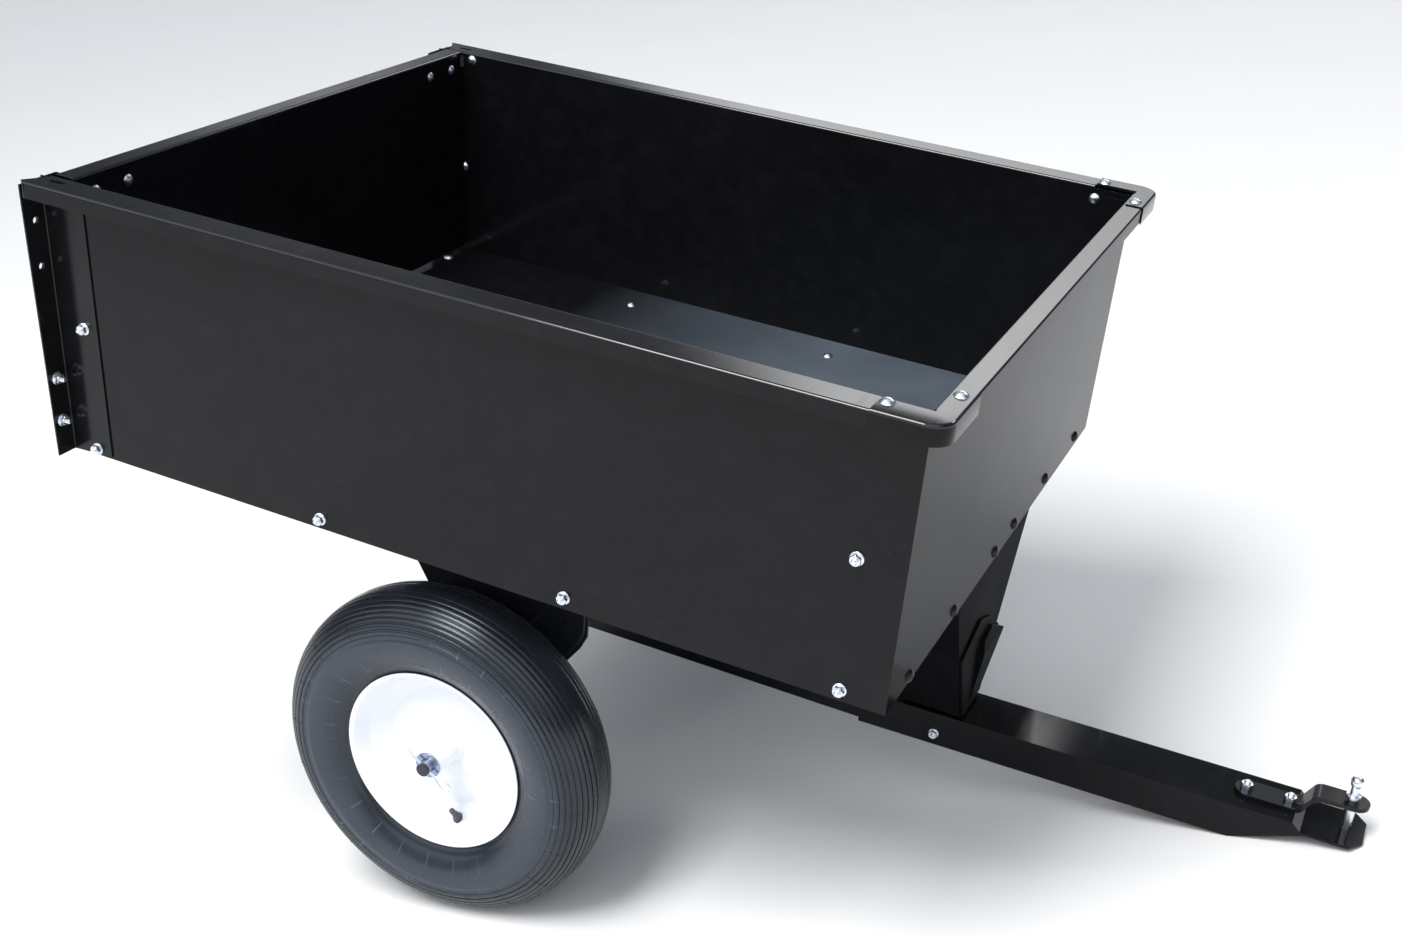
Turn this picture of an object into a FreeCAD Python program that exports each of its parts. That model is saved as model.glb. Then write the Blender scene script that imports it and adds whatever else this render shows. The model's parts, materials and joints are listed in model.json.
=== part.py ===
import FreeCAD, Part
import Sketcher
import math
import os
from FreeCAD import Vector, Placement, Rotation

# Tow-behind yard cart with a tipping steel bed, built as separate bolted pieces.
# Every piece is drawn in the cart's own level frame: +X forward, +Y to the cart's left,
# +Z up, zero at the middle of the bed's mouth, level with the top of its rim.
# A last placement stands the whole cart as it parks, nose down on the tongue's heel.

DOC = FreeCAD.newDocument("yard_cart")

# ---------------------------------------------------------------- driving dimensions (mm)
TABLE = [
    ("sheet", 1.5, "thickness of the bed's sheet steel"),
    ("bed_length", 1016.0, "length of the bed's mouth between front and tailgate"),
    ("bed_width", 813.0, "width of the bed's mouth between the sides"),
    ("bed_depth", 305.0, "rim top to floor"),
    ("panel_height", 337.0, "rim top to the bottom edge of the panels"),
    ("rim_side", 37.5, "width of the side panels' rim, from the wall's inner face"),
    ("rim_front", 26.0, "width of the front panel's and tailgate's rim"),
    ("rim_lip", 19.0, "depth of the lip folded down round the rim"),
    ("bend_outer", 3.0, "outer radius of a fold"),
    ("bend_inner", 1.5, "inner radius of a fold"),
    ("rake", 21.0, "how far the rear end leans back over the panel height"),
    ("rear_top", 549.0, "rear edge of the side panels at the rim, behind the middle"),
    ("cap_side", 78.0, "length of a corner cap along the side"),
    ("cap_front", 96.0, "length of a corner cap along the front"),
    ("cap_radius", 37.5, "outer radius of a corner cap"),
    ("cap_lip", 21.0, "depth of a corner cap's lip"),
    ("corner_flange", 50.0, "width of the front panel's side flanges, inside the side panels"),
    ("post_leg", 58.0, "width of a rear post's leg on the side panel"),
    ("post_flange_top", 442.2, "outer edge of a rear post's flange at the rim, from the centre line"),
    ("post_flange_bottom", 436.0, "outer edge of a rear post's flange at the foot"),
    ("track_inner", 376.0, "inner edge of a tailgate track, from the centre line"),
    ("track_outer", 434.0, "outer edge of a tailgate track, from the centre line"),
    ("rear_hole_y", 425.0, "row of holes in the rear flanges, from the centre line"),
    ("rear_hole_r", 4.0, "radius of the rear flanges' holes"),
    ("rear_hole_1", 51.0, "first hole below the rim top, along the rake"),
    ("rear_hole_2", 105.0, "second hole"),
    ("rear_hole_3", 242.0, "third hole"),
    ("rear_hole_4", 295.0, "fourth hole"),
    ("post_sheet", 2.0, "thickness of the rear posts"),
    ("track_sheet", 2.0, "thickness of the tailgate tracks"),
    ("gate_gap", 5.5, "clearance round the tailgate"),
    ("axle_x", -6.0, "axle centre, forward of the middle"),
    ("axle_drop", 584.0, "axle centre below the rim top"),
    ("axle_radius", 7.9, "axle radius"),
    ("axle_half", 446.5, "half the axle's length"),
    ("wheel_y", 391.0, "middle of the tyre, from the centre line"),
    ("tyre_radius", 206.0, "tyre outer radius"),
    ("tyre_half", 51.0, "half the tyre's width"),
    ("rim_radius", 114.5, "outer radius of the rim's flange"),
    ("rim_half", 36.0, "half the width over the rim's flanges"),
    ("rim_sheet", 1.8, "thickness of the rim's steel"),
    ("hub_radius", 16.0, "outer radius of the hub tube"),
    ("hub_half", 41.0, "half the hub's length"),
    ("leg_y", 322.0, "outer face of the axle legs, from the centre line"),
    ("leg_sheet", 3.0, "thickness of the axle legs"),
    ("upright_sheet", 3.0, "thickness of the front upright"),
    ("upright_depth", 100.0, "depth of the upright's wings"),
    ("upright_top", 338.0, "top of the upright below the rim top"),
    ("upright_foot", 559.1, "foot of the upright below the rim top, clear of the tongue"),
    ("upright_top_half", 152.0, "half width of the upright's face at its top"),
    ("upright_foot_half", 37.0, "half width of the upright's face at its foot"),
    ("tongue_sheet", 3.0, "thickness of the tongue's channels"),
    ("tongue_width", 73.4, "outer width of the front channel"),
    ("tongue_height", 44.4, "height of the front channel"),
    ("tongue_tail_width", 66.0, "outer width of the rear channel"),
    ("tongue_tail_top", 571.0, "top of the rear channel below the rim top"),
    ("tongue_tail_bottom", 609.0, "bottom of the rear channel below the rim top"),
    ("tongue_top_500", 564.5, "top of the front channel below the rim top, 500 ahead of the middle"),
    ("tongue_slope", 0.0236, "rise of the front channel for each unit forward"),
    ("tongue_start", 377.0, "rear end of the front channel"),
    ("tongue_kink", 840.0, "where the front channel's flanges start to taper"),
    ("tongue_tip", 984.0, "front end of the tongue"),
    ("strap_width", 32.0, "width of the hitch strap"),
    ("strap_sheet", 5.0, "thickness of the hitch strap"),
    ("strap_gap", 24.8, "underside of the strap's raised end above the tongue's top"),
    ("tip_drop", 9.5, "step down of the tongue's flat tip below its top"),
    ("pin_x", 962.0, "hitch pin, forward of the middle"),
    ("pin_radius", 6.2, "hitch pin radius"),
]
SHEET = DOC.addObject("Spreadsheet::Sheet", "Dims")
D = {}
for row, (alias, value, note) in enumerate(TABLE, start=1):
    SHEET.set("A%d" % row, note)
    SHEET.set("B%d" % row, repr(float(value)))
    SHEET.setAlias("B%d" % row, alias)
    D[alias] = float(value)
DOC.recompute()


class Q:
    """A length with its value and the expression that gives it from the sheet."""

    def __init__(self, v, s):
        self.v, self.s = float(v), s

    @staticmethod
    def of(o):
        return o if isinstance(o, Q) else Q(o, repr(float(o)))

    def __add__(self, o):
        o = Q.of(o)
        return Q(self.v + o.v, "(%s + %s)" % (self.s, o.s))

    __radd__ = __add__

    def __sub__(self, o):
        o = Q.of(o)
        return Q(self.v - o.v, "(%s - %s)" % (self.s, o.s))

    def __rsub__(self, o):
        return Q.of(o) - self

    def __mul__(self, o):
        o = Q.of(o)
        return Q(self.v * o.v, "(%s * %s)" % (self.s, o.s))

    __rmul__ = __mul__

    def __truediv__(self, o):
        o = Q.of(o)
        return Q(self.v / o.v, "(%s / %s)" % (self.s, o.s))

    def __neg__(self):
        return Q(-self.v, "(-1 * %s)" % self.s)


def dim(alias):
    return Q(D[alias], "Dims." + alias)


T = dim("sheet")
HL = dim("bed_length") / 2
HW = dim("bed_width") / 2
TOPZ = Q(0, "0")


# ---------------------------------------------------------------- modelling helpers
def new_body(label):
    body = DOC.addObject("PartDesign::Body", label)
    body.Label = label
    return body


def plane_of(body, role):
    for f in body.Origin.OriginFeatures:
        if f.Role == role:
            return f
    raise RuntimeError("no plane " + role)


def new_sketch(body, name, role, offset=None):
    sk = body.newObject("Sketcher::SketchObject", name)
    sk.AttachmentSupport = [(plane_of(body, role), "")]
    sk.MapMode = "FlatFace"
    if offset is not None:
        sk.AttachmentOffset = Placement(Vector(0, 0, Q.of(offset).v), Rotation())
        if Q.of(offset).s != repr(Q.of(offset).v):
            sk.setExpression("AttachmentOffset.Base.z", Q.of(offset).s)
    return sk


def fix_point(sk, geo, pos, x, y):
    """Ties a point to the sketch's origin by bound distances."""
    for kind, val, axis in (("DistanceX", x, -2), ("DistanceY", y, -1)):
        val = Q.of(val)
        if abs(val.v) < 1e-9:
            sk.addConstraint(Sketcher.Constraint("PointOnObject", geo, pos, axis))
        else:
            i = sk.addConstraint(Sketcher.Constraint(kind, -1, 1, geo, pos, val.v))
            if "Dims" in val.s:
                sk.setExpression("Constraints[%d]" % i, val.s)


def add_polygon(sk, pts):
    pts = [(Q.of(a), Q.of(b)) for a, b in pts]
    n = len(pts)
    first = sk.GeometryCount
    lines = []
    for i in range(n):
        a, b = pts[i], pts[(i + 1) % n]
        lines.append(Part.LineSegment(Vector(a[0].v, a[1].v, 0), Vector(b[0].v, b[1].v, 0)))
    sk.addGeometry(lines, False)
    for i in range(n):
        sk.addConstraint(Sketcher.Constraint("Coincident", first + i, 2, first + (i + 1) % n, 1))
    for i in range(n):
        fix_point(sk, first + i, 1, pts[i][0], pts[i][1])


def add_rounded(sk, pts, corner, r):
    """A closed outline whose square corner of the given index is an arc of radius r."""
    pts = [(Q.of(a), Q.of(b)) for a, b in pts]
    r = Q.of(r)
    n = len(pts)
    c, before, after = pts[corner], pts[corner - 1], pts[(corner + 1) % n]

    def toward(p):
        """The point at distance r from the corner along its edge to p."""
        dx, dy = p[0].v - c[0].v, p[1].v - c[1].v
        if abs(dx) > abs(dy):
            return (c[0] + r if dx > 0 else c[0] - r, c[1])
        return (c[0], c[1] + r if dy > 0 else c[1] - r)

    t1, t2 = toward(before), toward(after)
    mid = (t1[0], t2[1]) if abs(t1[1].v - c[1].v) < 1e-9 else (t2[0], t1[1])
    path = pts[:corner] + [t1, t2] + pts[corner + 1:]
    n = len(path)
    first = sk.GeometryCount
    a1 = math.atan2(t1[1].v - mid[1].v, t1[0].v - mid[0].v)
    a2 = math.atan2(t2[1].v - mid[1].v, t2[0].v - mid[0].v)
    turn = (a2 - a1 + math.pi) % (2 * math.pi) - math.pi
    geo = []
    for i in range(n):
        a, b = path[i], path[(i + 1) % n]
        if i == corner:
            circle = Part.Circle(Vector(mid[0].v, mid[1].v, 0), Vector(0, 0, 1), r.v)
            geo.append(Part.ArcOfCircle(circle, a1, a2) if turn > 0 else Part.ArcOfCircle(circle, a2, a1))
        else:
            geo.append(Part.LineSegment(Vector(a[0].v, a[1].v, 0), Vector(b[0].v, b[1].v, 0)))
    sk.addGeometry(geo, False)

    def ends(i):
        """Which end of piece i comes first and which last along the outline."""
        return (1, 2) if i != corner or turn > 0 else (2, 1)

    for i in range(n):
        j = (i + 1) % n
        sk.addConstraint(Sketcher.Constraint("Coincident", first + i, ends(i)[1], first + j, ends(j)[0]))
    for i in range(n):
        if i != corner:
            fix_point(sk, first + i, 1, path[i][0], path[i][1])
    fix_point(sk, first + corner, 3, mid[0], mid[1])


def add_circle(sk, x, y, r):
    x, y, r = Q.of(x), Q.of(y), Q.of(r)
    g = sk.addGeometry(Part.Circle(Vector(x.v, y.v, 0), Vector(0, 0, 1), r.v), False)
    fix_point(sk, g, 3, x, y)
    i = sk.addConstraint(Sketcher.Constraint("Radius", g, r.v))
    if "Dims" in r.s:
        sk.setExpression("Constraints[%d]" % i, r.s)


def set_length(feat, prop, val):
    val = Q.of(val)
    setattr(feat, prop, val.v)
    if "Dims" in val.s:
        feat.setExpression(prop, val.s)


def pad(body, sk, length, reversed_=False, midplane=False, name="Pad"):
    f = body.newObject("PartDesign::Pad", name)
    f.Profile = sk
    f.Type = 0
    set_length(f, "Length", length)
    f.Reversed = reversed_
    if midplane:
        f.SideType = "Symmetric" if hasattr(f, "SideType") else 0
        if not hasattr(f, "SideType"):
            f.Midplane = True
    DOC.recompute()
    return f


def pocket(body, sk, name="Pocket", both=True, length=4000.0, reversed_=False):
    before = body.Shape.Volume
    f = body.newObject("PartDesign::Pocket", name)
    f.Profile = sk
    f.Type = 0
    set_length(f, "Length", length)
    f.Reversed = reversed_
    if both:
        if hasattr(f, "SideType"):
            f.SideType = "Symmetric"
        else:
            f.Midplane = True
    DOC.recompute()
    if not f.Shape.Volume < before - 1e-3:
        raise RuntimeError("%s in %s removes nothing" % (name, body.Label))
    return f


def fillet_where(body, radius, test, name="Fillet"):
    tip = body.Tip
    names = []
    for i, e in enumerate(tip.Shape.Edges, start=1):
        if test(e):
            names.append("Edge%d" % i)
    if not names:
        raise RuntimeError("no edge to round in " + body.Label)
    f = body.newObject("PartDesign::Fillet", name)
    f.Base = (tip, names)
    set_length(f, "Radius", radius)
    DOC.recompute()
    return f


def prism(label, role, pts, start, length, holes=()):
    """A body padded along its plane's normal from 'start' for 'length'."""
    body = new_body(label)
    sk = new_sketch(body, label + "_outline", role, start)
    add_polygon(sk, pts)
    for h in holes:
        add_circle(sk, *h)
    pad(body, sk, length, name=label + "_pad")
    return body


def add_prism(body, role, pts, start, length, name):
    sk = new_sketch(body, name + "_outline", role, start)
    add_polygon(sk, pts)
    return pad(body, sk, length, name=name)


def cut_circles(body, role, circles, name, start=None, length=None, reversed_=False):
    sk = new_sketch(body, name + "_circles", role, start)
    for c in circles:
        add_circle(sk, *c)
    if length is None:
        return pocket(body, sk, name)
    return pocket(body, sk, name, both=False, length=length, reversed_=reversed_)


def cut_poly(body, role, pts, name, start=None, length=None, reversed_=False):
    sk = new_sketch(body, name + "_outline", role, start)
    add_polygon(sk, pts)
    if length is None:
        return pocket(body, sk, name)
    return pocket(body, sk, name, both=False, length=length, reversed_=reversed_)


def along(axis, tol=1e-6):
    def test(e):
        if e.Curve.TypeId != "Part::GeomLine":
            return False
        d = e.Vertexes[-1].Point - e.Vertexes[0].Point
        d.normalize()
        return abs(abs(d.dot(axis)) - 1) < tol
    return test


X, Y, Z = Vector(1, 0, 0), Vector(0, 1, 0), Vector(0, 0, 1)


def edge_at(axis, **near):
    """Edges along an axis whose middle is at the given coordinates."""
    def test(e):
        if not along(axis)(e):
            return False
        p = (e.Vertexes[0].Point + e.Vertexes[-1].Point) * 0.5
        return all(abs(getattr(p, k) - v) < 0.05 for k, v in near.items())
    return test


def either(*tests):
    return lambda e: any(t(e) for t in tests)


PIECES = []          # (object, local placement in the level frame)


def piece(obj, local=None):
    PIECES.append((obj, local or Placement()))
    return obj


def rear_x(z):
    """Rear edge of the side panels at height z (z negative below the rim)."""
    return -dim("rear_top") + (-Q.of(z)) * dim("rake") / dim("panel_height")


PH = dim("panel_height")
RS = dim("rim_side")
RF = dim("rim_front")
LIP = dim("rim_lip")

# ---------------------------------------------------------------- bed: side panels
# One sheet each: wall, rim folded outward, lip folded down. The rear end is raked.
for side, sgn in (("right", -1), ("left", 1)):
    def yy(q):
        return Q.of(q) * sgn
    pts = [(yy(HW), -PH), (yy(HW), TOPZ), (yy(HW + RS), TOPZ), (yy(HW + RS), -LIP),
           (yy(HW + RS - T), -LIP), (yy(HW + RS - T), -T), (yy(HW + T), -T), (yy(HW + T), -PH)]
    if sgn > 0:
        pts = pts[::-1]
    b = prism("side_panel_" + side, "YZ_Plane", pts, -dim("rear_top"), dim("rear_top") + HL + T)
    fillet_where(b, dim("bend_outer"), either(
        edge_at(X, y=sgn * D["bed_width"] / 2, z=0.0),
        edge_at(X, y=sgn * (D["bed_width"] / 2 + D["rim_side"]), z=0.0)), "outer_folds")
    fillet_where(b, dim("bend_inner"), either(
        edge_at(X, y=sgn * (D["bed_width"] / 2 + D["sheet"]), z=-D["sheet"]),
        edge_at(X, y=sgn * (D["bed_width"] / 2 + D["rim_side"] - D["sheet"]), z=-D["sheet"])), "inner_folds")
    cut_poly(b, "XZ_Plane", [(-dim("rear_top") - 20, Q.of(1)), (-dim("rear_top"), TOPZ),
                             (rear_x(-PH), -PH), (rear_x(-PH), -PH - 5),
                             (-dim("rear_top") - 20, -PH - 5)], "rake_cut")
    # relief between wall and rim at the front, where the front panel's flange comes up
    cut_poly(b, "XY_Plane", [(HL - dim("corner_flange"), yy(HW - 1)), (HL + 10, yy(HW - 1)),
                             (HL + 10, yy(HW + 5.5)), (HL - dim("corner_flange"), yy(HW + 5.5))][::sgn],
             "corner_relief", start=-9.0, length=20.0, reversed_=True)
    # the rim's rear end is cut back towards the wall
    cut_poly(b, "XY_Plane", [(-dim("rear_top") - 5, yy(HW - 5)), (-dim("rear_top") + 17, yy(HW - 5)),
                             (-dim("rear_top") + 17, yy(HW + 8)), (-dim("rear_top"), yy(HW + RS)),
                             (-dim("rear_top") - 5, yy(HW + RS))][::sgn],
             "rim_end", start=-2.9, length=20.0, reversed_=True)
    # small slot in the rim near its rear end
    cut_poly(b, "XY_Plane", [(Q.of(-521), yy(HW + 12)), (Q.of(-501), yy(HW + 12)),
                             (Q.of(-501), yy(HW + 18)), (Q.of(-521), yy(HW + 18))][::sgn],
             "rim_slot", start=-8.0, length=20.0, reversed_=True)
    piece(b)

# ---------------------------------------------------------------- bed: front panel
# Wall, rim folded forward, lip, and a flange folded back along each side panel.
b = prism("front_panel", "XZ_Plane",
          [(HL, -PH), (HL, TOPZ), (HL + RF, TOPZ), (HL + RF, -LIP), (HL + RF - T, -LIP),
           (HL + RF - T, -T), (HL + T, -T), (HL + T, -PH)],
          -(HW - 0.2), (HW - 0.2) * 2)
fillet_where(b, dim("bend_outer"), either(
    edge_at(Y, x=D["bed_length"] / 2, z=0.0), edge_at(Y, x=D["bed_length"] / 2 + D["rim_front"], z=0.0)), "outer_folds")
fillet_where(b, dim("bend_inner"), either(
    edge_at(Y, x=D["bed_length"] / 2 + D["sheet"], z=-D["sheet"]),
    edge_at(Y, x=D["bed_length"] / 2 + D["rim_front"] - D["sheet"], z=-D["sheet"])), "inner_folds")
for i, sgn in enumerate((-1, 1)):
    fl = [(HL - dim("corner_flange"), Q.of(-26)), (HL - dim("corner_flange"), -dim("bed_depth") + 0.5),
          (HL + T, -dim("bed_depth") + 0.5), (HL + T, Q.of(-12)), (HL - dim("corner_flange") + 14, Q.of(-12))]
    add_prism(b, "XZ_Plane", fl, (HW - 0.2 - T) if sgn < 0 else -(HW - 0.2), T, "side_flange_%d" % i)
piece(b)

# ---------------------------------------------------------------- bed: floor pan
# A flat floor with flanges folded down along all four sides.
FZ = -dim("bed_depth")
floor_rear = -(dim("rear_top") - dim("rake")) + 2
b = prism("floor_pan", "XY_Plane",
          [(floor_rear, -(HW - 0.3)), (HL - 0.3, -(HW - 0.3)), (HL - 0.3, HW - 0.3), (floor_rear, HW - 0.3)],
          -PH + 1, PH - dim("bed_depth") - 1)
cut_poly(b, "XY_Plane",
         [(floor_rear + T, -(HW - 0.3 - T)), (HL - 0.3 - T, -(HW - 0.3 - T)),
          (HL - 0.3 - T, HW - 0.3 - T), (floor_rear + T, HW - 0.3 - T)],
         "underside", start=-PH - 10, length=PH - dim("bed_depth") + 10 - T, reversed_=True)
piece(b)

# ---------------------------------------------------------------- bed: corner caps
# A flat L over the two rims where they meet, with a rounded corner and a lip.
for side, sgn in (("right", -1), ("left", 1)):
    def yy(q):
        return Q.of(q) * sgn
    x_in, x_out = HL - 49, HL + RF + T
    y_out, y_in = HW + RS + T, HW - 58.5
    out = [(x_in, yy(y_out)), (x_out, yy(y_out)), (x_out, yy(y_in)), (HL + 4, yy(y_in)),
           (HL + 4, yy(HW + 7)), (x_in, yy(HW + 7))]
    if sgn > 0:
        out = out[::-1]
    b = prism("corner_cap_" + side, "XY_Plane", out, -dim("cap_lip"), dim("cap_lip") + T)
    fillet_where(b, dim("cap_radius") - 12, edge_at(Z, x=D["bed_length"] / 2 + D["rim_front"] + D["sheet"],
                                               y=sgn * (D["bed_width"] / 2 + D["rim_side"] + D["sheet"])), "round_corner")
    def top_rim(e, sgn=sgn):
        ps = [v.Point for v in e.Vertexes]
        if any(abs(p.z - D["sheet"]) > 0.01 for p in ps):
            return False
        m = e.valueAt((e.FirstParameter + e.LastParameter) / 2)
        xo = D["bed_length"] / 2 + D["rim_front"] + D["sheet"]
        yo = sgn * (D["bed_width"] / 2 + D["rim_side"] + D["sheet"])
        return abs(m.x - xo) < 0.05 or abs(m.y - yo) < 0.05 or e.Curve.TypeId == "Part::GeomCircle"
    fillet_where(b, 1.2, top_rim, "top_fold")
    # hollow below the plate: leaves the plate and the outer lip
    inner = [(x_in - 20, yy(y_out - T)), (x_out - T, yy(y_out - T)), (x_out - T, yy(y_in - 20)),
             (HL - 30, yy(y_in - 20)), (HL - 30, yy(HW - 30)), (x_in - 20, yy(HW - 30))]
    corner = 1
    if sgn > 0:
        inner, corner = inner[::-1], len(inner) - 2
    sk = new_sketch(b, "hollow_outline", "XY_Plane", -dim("cap_lip") - 5)
    add_rounded(sk, inner, corner, dim("cap_radius") - 12 - T)
    g = pocket(b, sk, "hollow", both=False, length=dim("cap_lip") + 5, reversed_=True)
    piece(b)

# ---------------------------------------------------------------- bed: rear posts
# An angle along each raked rear edge: one leg on the side panel, one flange outward, and
# a flat track behind the flange that reaches inward behind the tailgate's edge. They are
# drawn upright, with zero at the rear end of the rim, and then leaned back.
PS = dim("post_sheet")
TS = dim("track_sheet")
RAKED = Placement(Vector(-D["rear_top"], 0, 0),
                  Rotation(Y, -math.degrees(math.atan2(D["rake"], D["panel_height"]))))
post_foot = -dim("panel_height") - 0.6
post_top = Q.of(-5.6)
for side, sgn in (("right", -1), ("left", 1)):
    def yy(q):
        return Q.of(q) * sgn
    y0 = HW + T
    b = prism("rear_post_" + side, "XY_Plane",
              [(Q.of(0), yy(y0)), (dim("post_leg"), yy(y0)), (dim("post_leg"), yy(y0 + PS)), (PS, yy(y0 + PS)),
               (PS, yy(dim("post_flange_top"))), (Q.of(0), yy(dim("post_flange_top")))][::sgn],
              post_foot, post_top - post_foot)
    fillet_where(b, 1.9, edge_at(Z, x=0.0, y=sgn * (D["bed_width"] / 2 + D["sheet"])), "outer_fold")
    fillet_where(b, 1.5, edge_at(Z, x=D["post_sheet"],
                                 y=sgn * (D["bed_width"] / 2 + D["sheet"] + D["post_sheet"])), "inner_fold")
    cut_poly(b, "YZ_Plane", [(yy(dim("post_flange_top")), Q.of(-20)), (yy(dim("post_flange_top") + 5), Q.of(-20)),
                             (yy(dim("post_flange_top") + 5), post_foot - 5), (yy(dim("post_flange_bottom")), post_foot - 5)][::sgn],
             "flange_taper")
    holes = [(yy(dim("rear_hole_y")), -dim("rear_hole_%d" % k), dim("rear_hole_r")) for k in (1, 2, 3, 4)]
    cut_circles(b, "YZ_Plane", holes, "flange_holes")
    piece(b, RAKED)
    b = prism("tailgate_track_" + side, "XY_Plane",
              [(-TS, yy(dim("track_inner"))), (Q.of(0), yy(dim("track_inner"))),
               (Q.of(0), yy(dim("track_outer"))), (-TS, yy(dim("track_outer")))][::sgn],
              post_foot, post_top - post_foot)
    fillet_where(b, 8.0, either(edge_at(X, y=sgn * D["track_inner"], z=post_top.v),
                                edge_at(X, y=sgn * D["track_inner"], z=post_foot.v)), "round_corners")
    cut_circles(b, "YZ_Plane", holes, "track_holes")
    piece(b, RAKED)

# ---------------------------------------------------------------- tailgate
# A raked pan: face sheet, flanges folded back at the sides, and the same rim on top.
GG = dim("gate_gap")
gate_bottom = -dim("bed_depth") + GG


def gate_x(z):
    return -HL + (-Q.of(z)) * dim("rake") / dim("panel_height")


gw = HW - GG
b = prism("tailgate_panel", "XZ_Plane",
          [(gate_x(0), TOPZ), (gate_x(gate_bottom), gate_bottom), (gate_x(gate_bottom) - T, gate_bottom),
           (gate_x(-T) - T, -T), (gate_x(0) - RF + T, -T), (gate_x(0) - RF + T, -LIP),
           (gate_x(0) - RF, -LIP), (gate_x(0) - RF, TOPZ)],
          -gw, gw * 2)
fillet_where(b, dim("bend_outer"), either(
    edge_at(Y, x=-D["bed_length"] / 2, z=0.0), edge_at(Y, x=-D["bed_length"] / 2 - D["rim_front"], z=0.0)), "outer_folds")
for i, sgn in enumerate((-1, 1)):
    fl = [(gate_x(-LIP - 6), -LIP - 6), (gate_x(gate_bottom), gate_bottom),
          (gate_x(gate_bottom) - 20, gate_bottom), (gate_x(-LIP - 6) - 20, -LIP - 6)]
    add_prism(b, "XZ_Plane", fl, (gw - T) if sgn < 0 else -gw, T, "side_flange_%d" % i)
piece(b)
for side, sgn in (("right", -1), ("left", 1)):
    ys = (HW - 113) if sgn < 0 else -(HW - 113 + 92)
    ha = [(gate_x(-48) - T - 3.2, Q.of(-48)), (gate_x(-48) - T - 0.2, Q.of(-48)),
          (gate_x(-8) - T - 0.2, Q.of(-8)), (gate_x(-8) - T - 3.2, Q.of(-8))]
    b = prism("tailgate_hanger_" + side, "XZ_Plane", ha, ys, 92.0)
    piece(b)

# ---------------------------------------------------------------- bed: axle legs
# A V-shaped plate with a flange bolted under the floor and the axle's hole at its foot.
LS = dim("leg_sheet")
AX, AD = dim("axle_x"), dim("axle_drop")
floor_under = -dim("bed_depth") - T
for side, sgn in (("right", -1), ("left", 1)):
    web = [(Q.of(-190), floor_under), (Q.of(-190), Q.of(-330)), (Q.of(-99), Q.of(-394)), (Q.of(-76), Q.of(-430)),
           (AX - 30, -AD + 20), (AX - 24, -AD - 18), (AX - 10, -AD - 28), (AX + 10, -AD - 28), (AX + 24, -AD - 18),
           (AX + 30, -AD + 14), (Q.of(98), Q.of(-475)), (Q.of(122), Q.of(-441)), (Q.of(130), Q.of(-423)),
           (Q.of(130), Q.of(-345)), (Q.of(165), Q.of(-325)), (Q.of(165), floor_under)]
    web = web[::-1]
    start = (dim("leg_y") - LS) if sgn < 0 else -dim("leg_y")
    b = prism("axle_leg_" + side, "XZ_Plane", web, start, LS)
    cut_circles(b, "XZ_Plane", [(AX, -AD, dim("axle_radius") + 0.3)], "axle_hole")
    ft = [(Q.of(-190), floor_under - LS), (Q.of(165), floor_under - LS), (Q.of(165), floor_under), (Q.of(-190), floor_under)]
    add_prism(b, "XZ_Plane", ft, (dim("leg_y") - LS) if sgn < 0 else -(dim("leg_y") + 45), 45 + LS, "top_flange")
    piece(b)

# ---------------------------------------------------------------- bed: front upright
# A tapered channel that hangs from the front of the floor and stands on the tongue: a
# front face that narrows downward and two wings folded back from its slanting edges.
up_top, up_foot, up_wide, up_narrow = -dim("upright_top"), -dim("upright_foot"), dim("upright_top_half"), dim("upright_foot_half")
UT = dim("upright_sheet")
b = prism("latch_upright", "YZ_Plane",
          [(-up_wide, up_top), (-up_narrow, up_foot), (up_narrow, up_foot), (up_wide, up_top)],
          HL - 3 - dim("upright_depth"), dim("upright_depth"))
sk = new_sketch(b, "hollow_outline", "YZ_Plane", HL - 3 - UT)
add_polygon(sk, [(-up_wide - 1.1, up_top + 9), (-up_narrow + UT * 1.13 + 2.6, up_foot - 5),
                 (up_narrow - UT * 1.13 - 2.6, up_foot - 5), (up_wide + 1.1, up_top + 9)])
pocket(b, sk, "hollow", both=False, length=dim("upright_depth") + 20, reversed_=False)
piece(b)
# release lever: a plate that lies on the upright's face, wider on the near side, with a
# raised part on its far side that leans out from the upright's foot
b = prism("latch_lever", "YZ_Plane",
          [(Q.of(-36), up_foot + 1.5), (Q.of(-95), Q.of(-446)), (Q.of(-31), Q.of(-421)), (Q.of(18), Q.of(-440)),
           (Q.of(74), Q.of(-480)), (Q.of(36), up_foot + 1.5)][::-1],
          HL - 2.6, 3.0)
add_prism(b, "YZ_Plane", [(Q.of(-14), up_foot + 1.5), (Q.of(-14), Q.of(-458)), (Q.of(18), Q.of(-452)),
                          (Q.of(74), Q.of(-482)), (Q.of(36), up_foot + 1.5)][::-1], HL - 2.6, 10.5, "raised_part")
cut_poly(b, "XZ_Plane", [(HL + 0.4, Q.of(-580)), (HL + 0.4, Q.of(-548.4)), (HL + 8.4, Q.of(-478)), (HL + 4.4, Q.of(-448)),
                         (HL + 4.4, Q.of(-440)), (HL + 30, Q.of(-440)), (HL + 30, Q.of(-580))], "front_face")
piece(b)

# ---------------------------------------------------------------- running gear: axle
b = new_body("axle")
sk = new_sketch(b, "axle_section", "XZ_Plane", -dim("axle_half"))
add_circle(sk, AX, -AD, dim("axle_radius"))
pad(b, sk, dim("axle_half") * 2, name="axle_pad")
piece(b)

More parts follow.
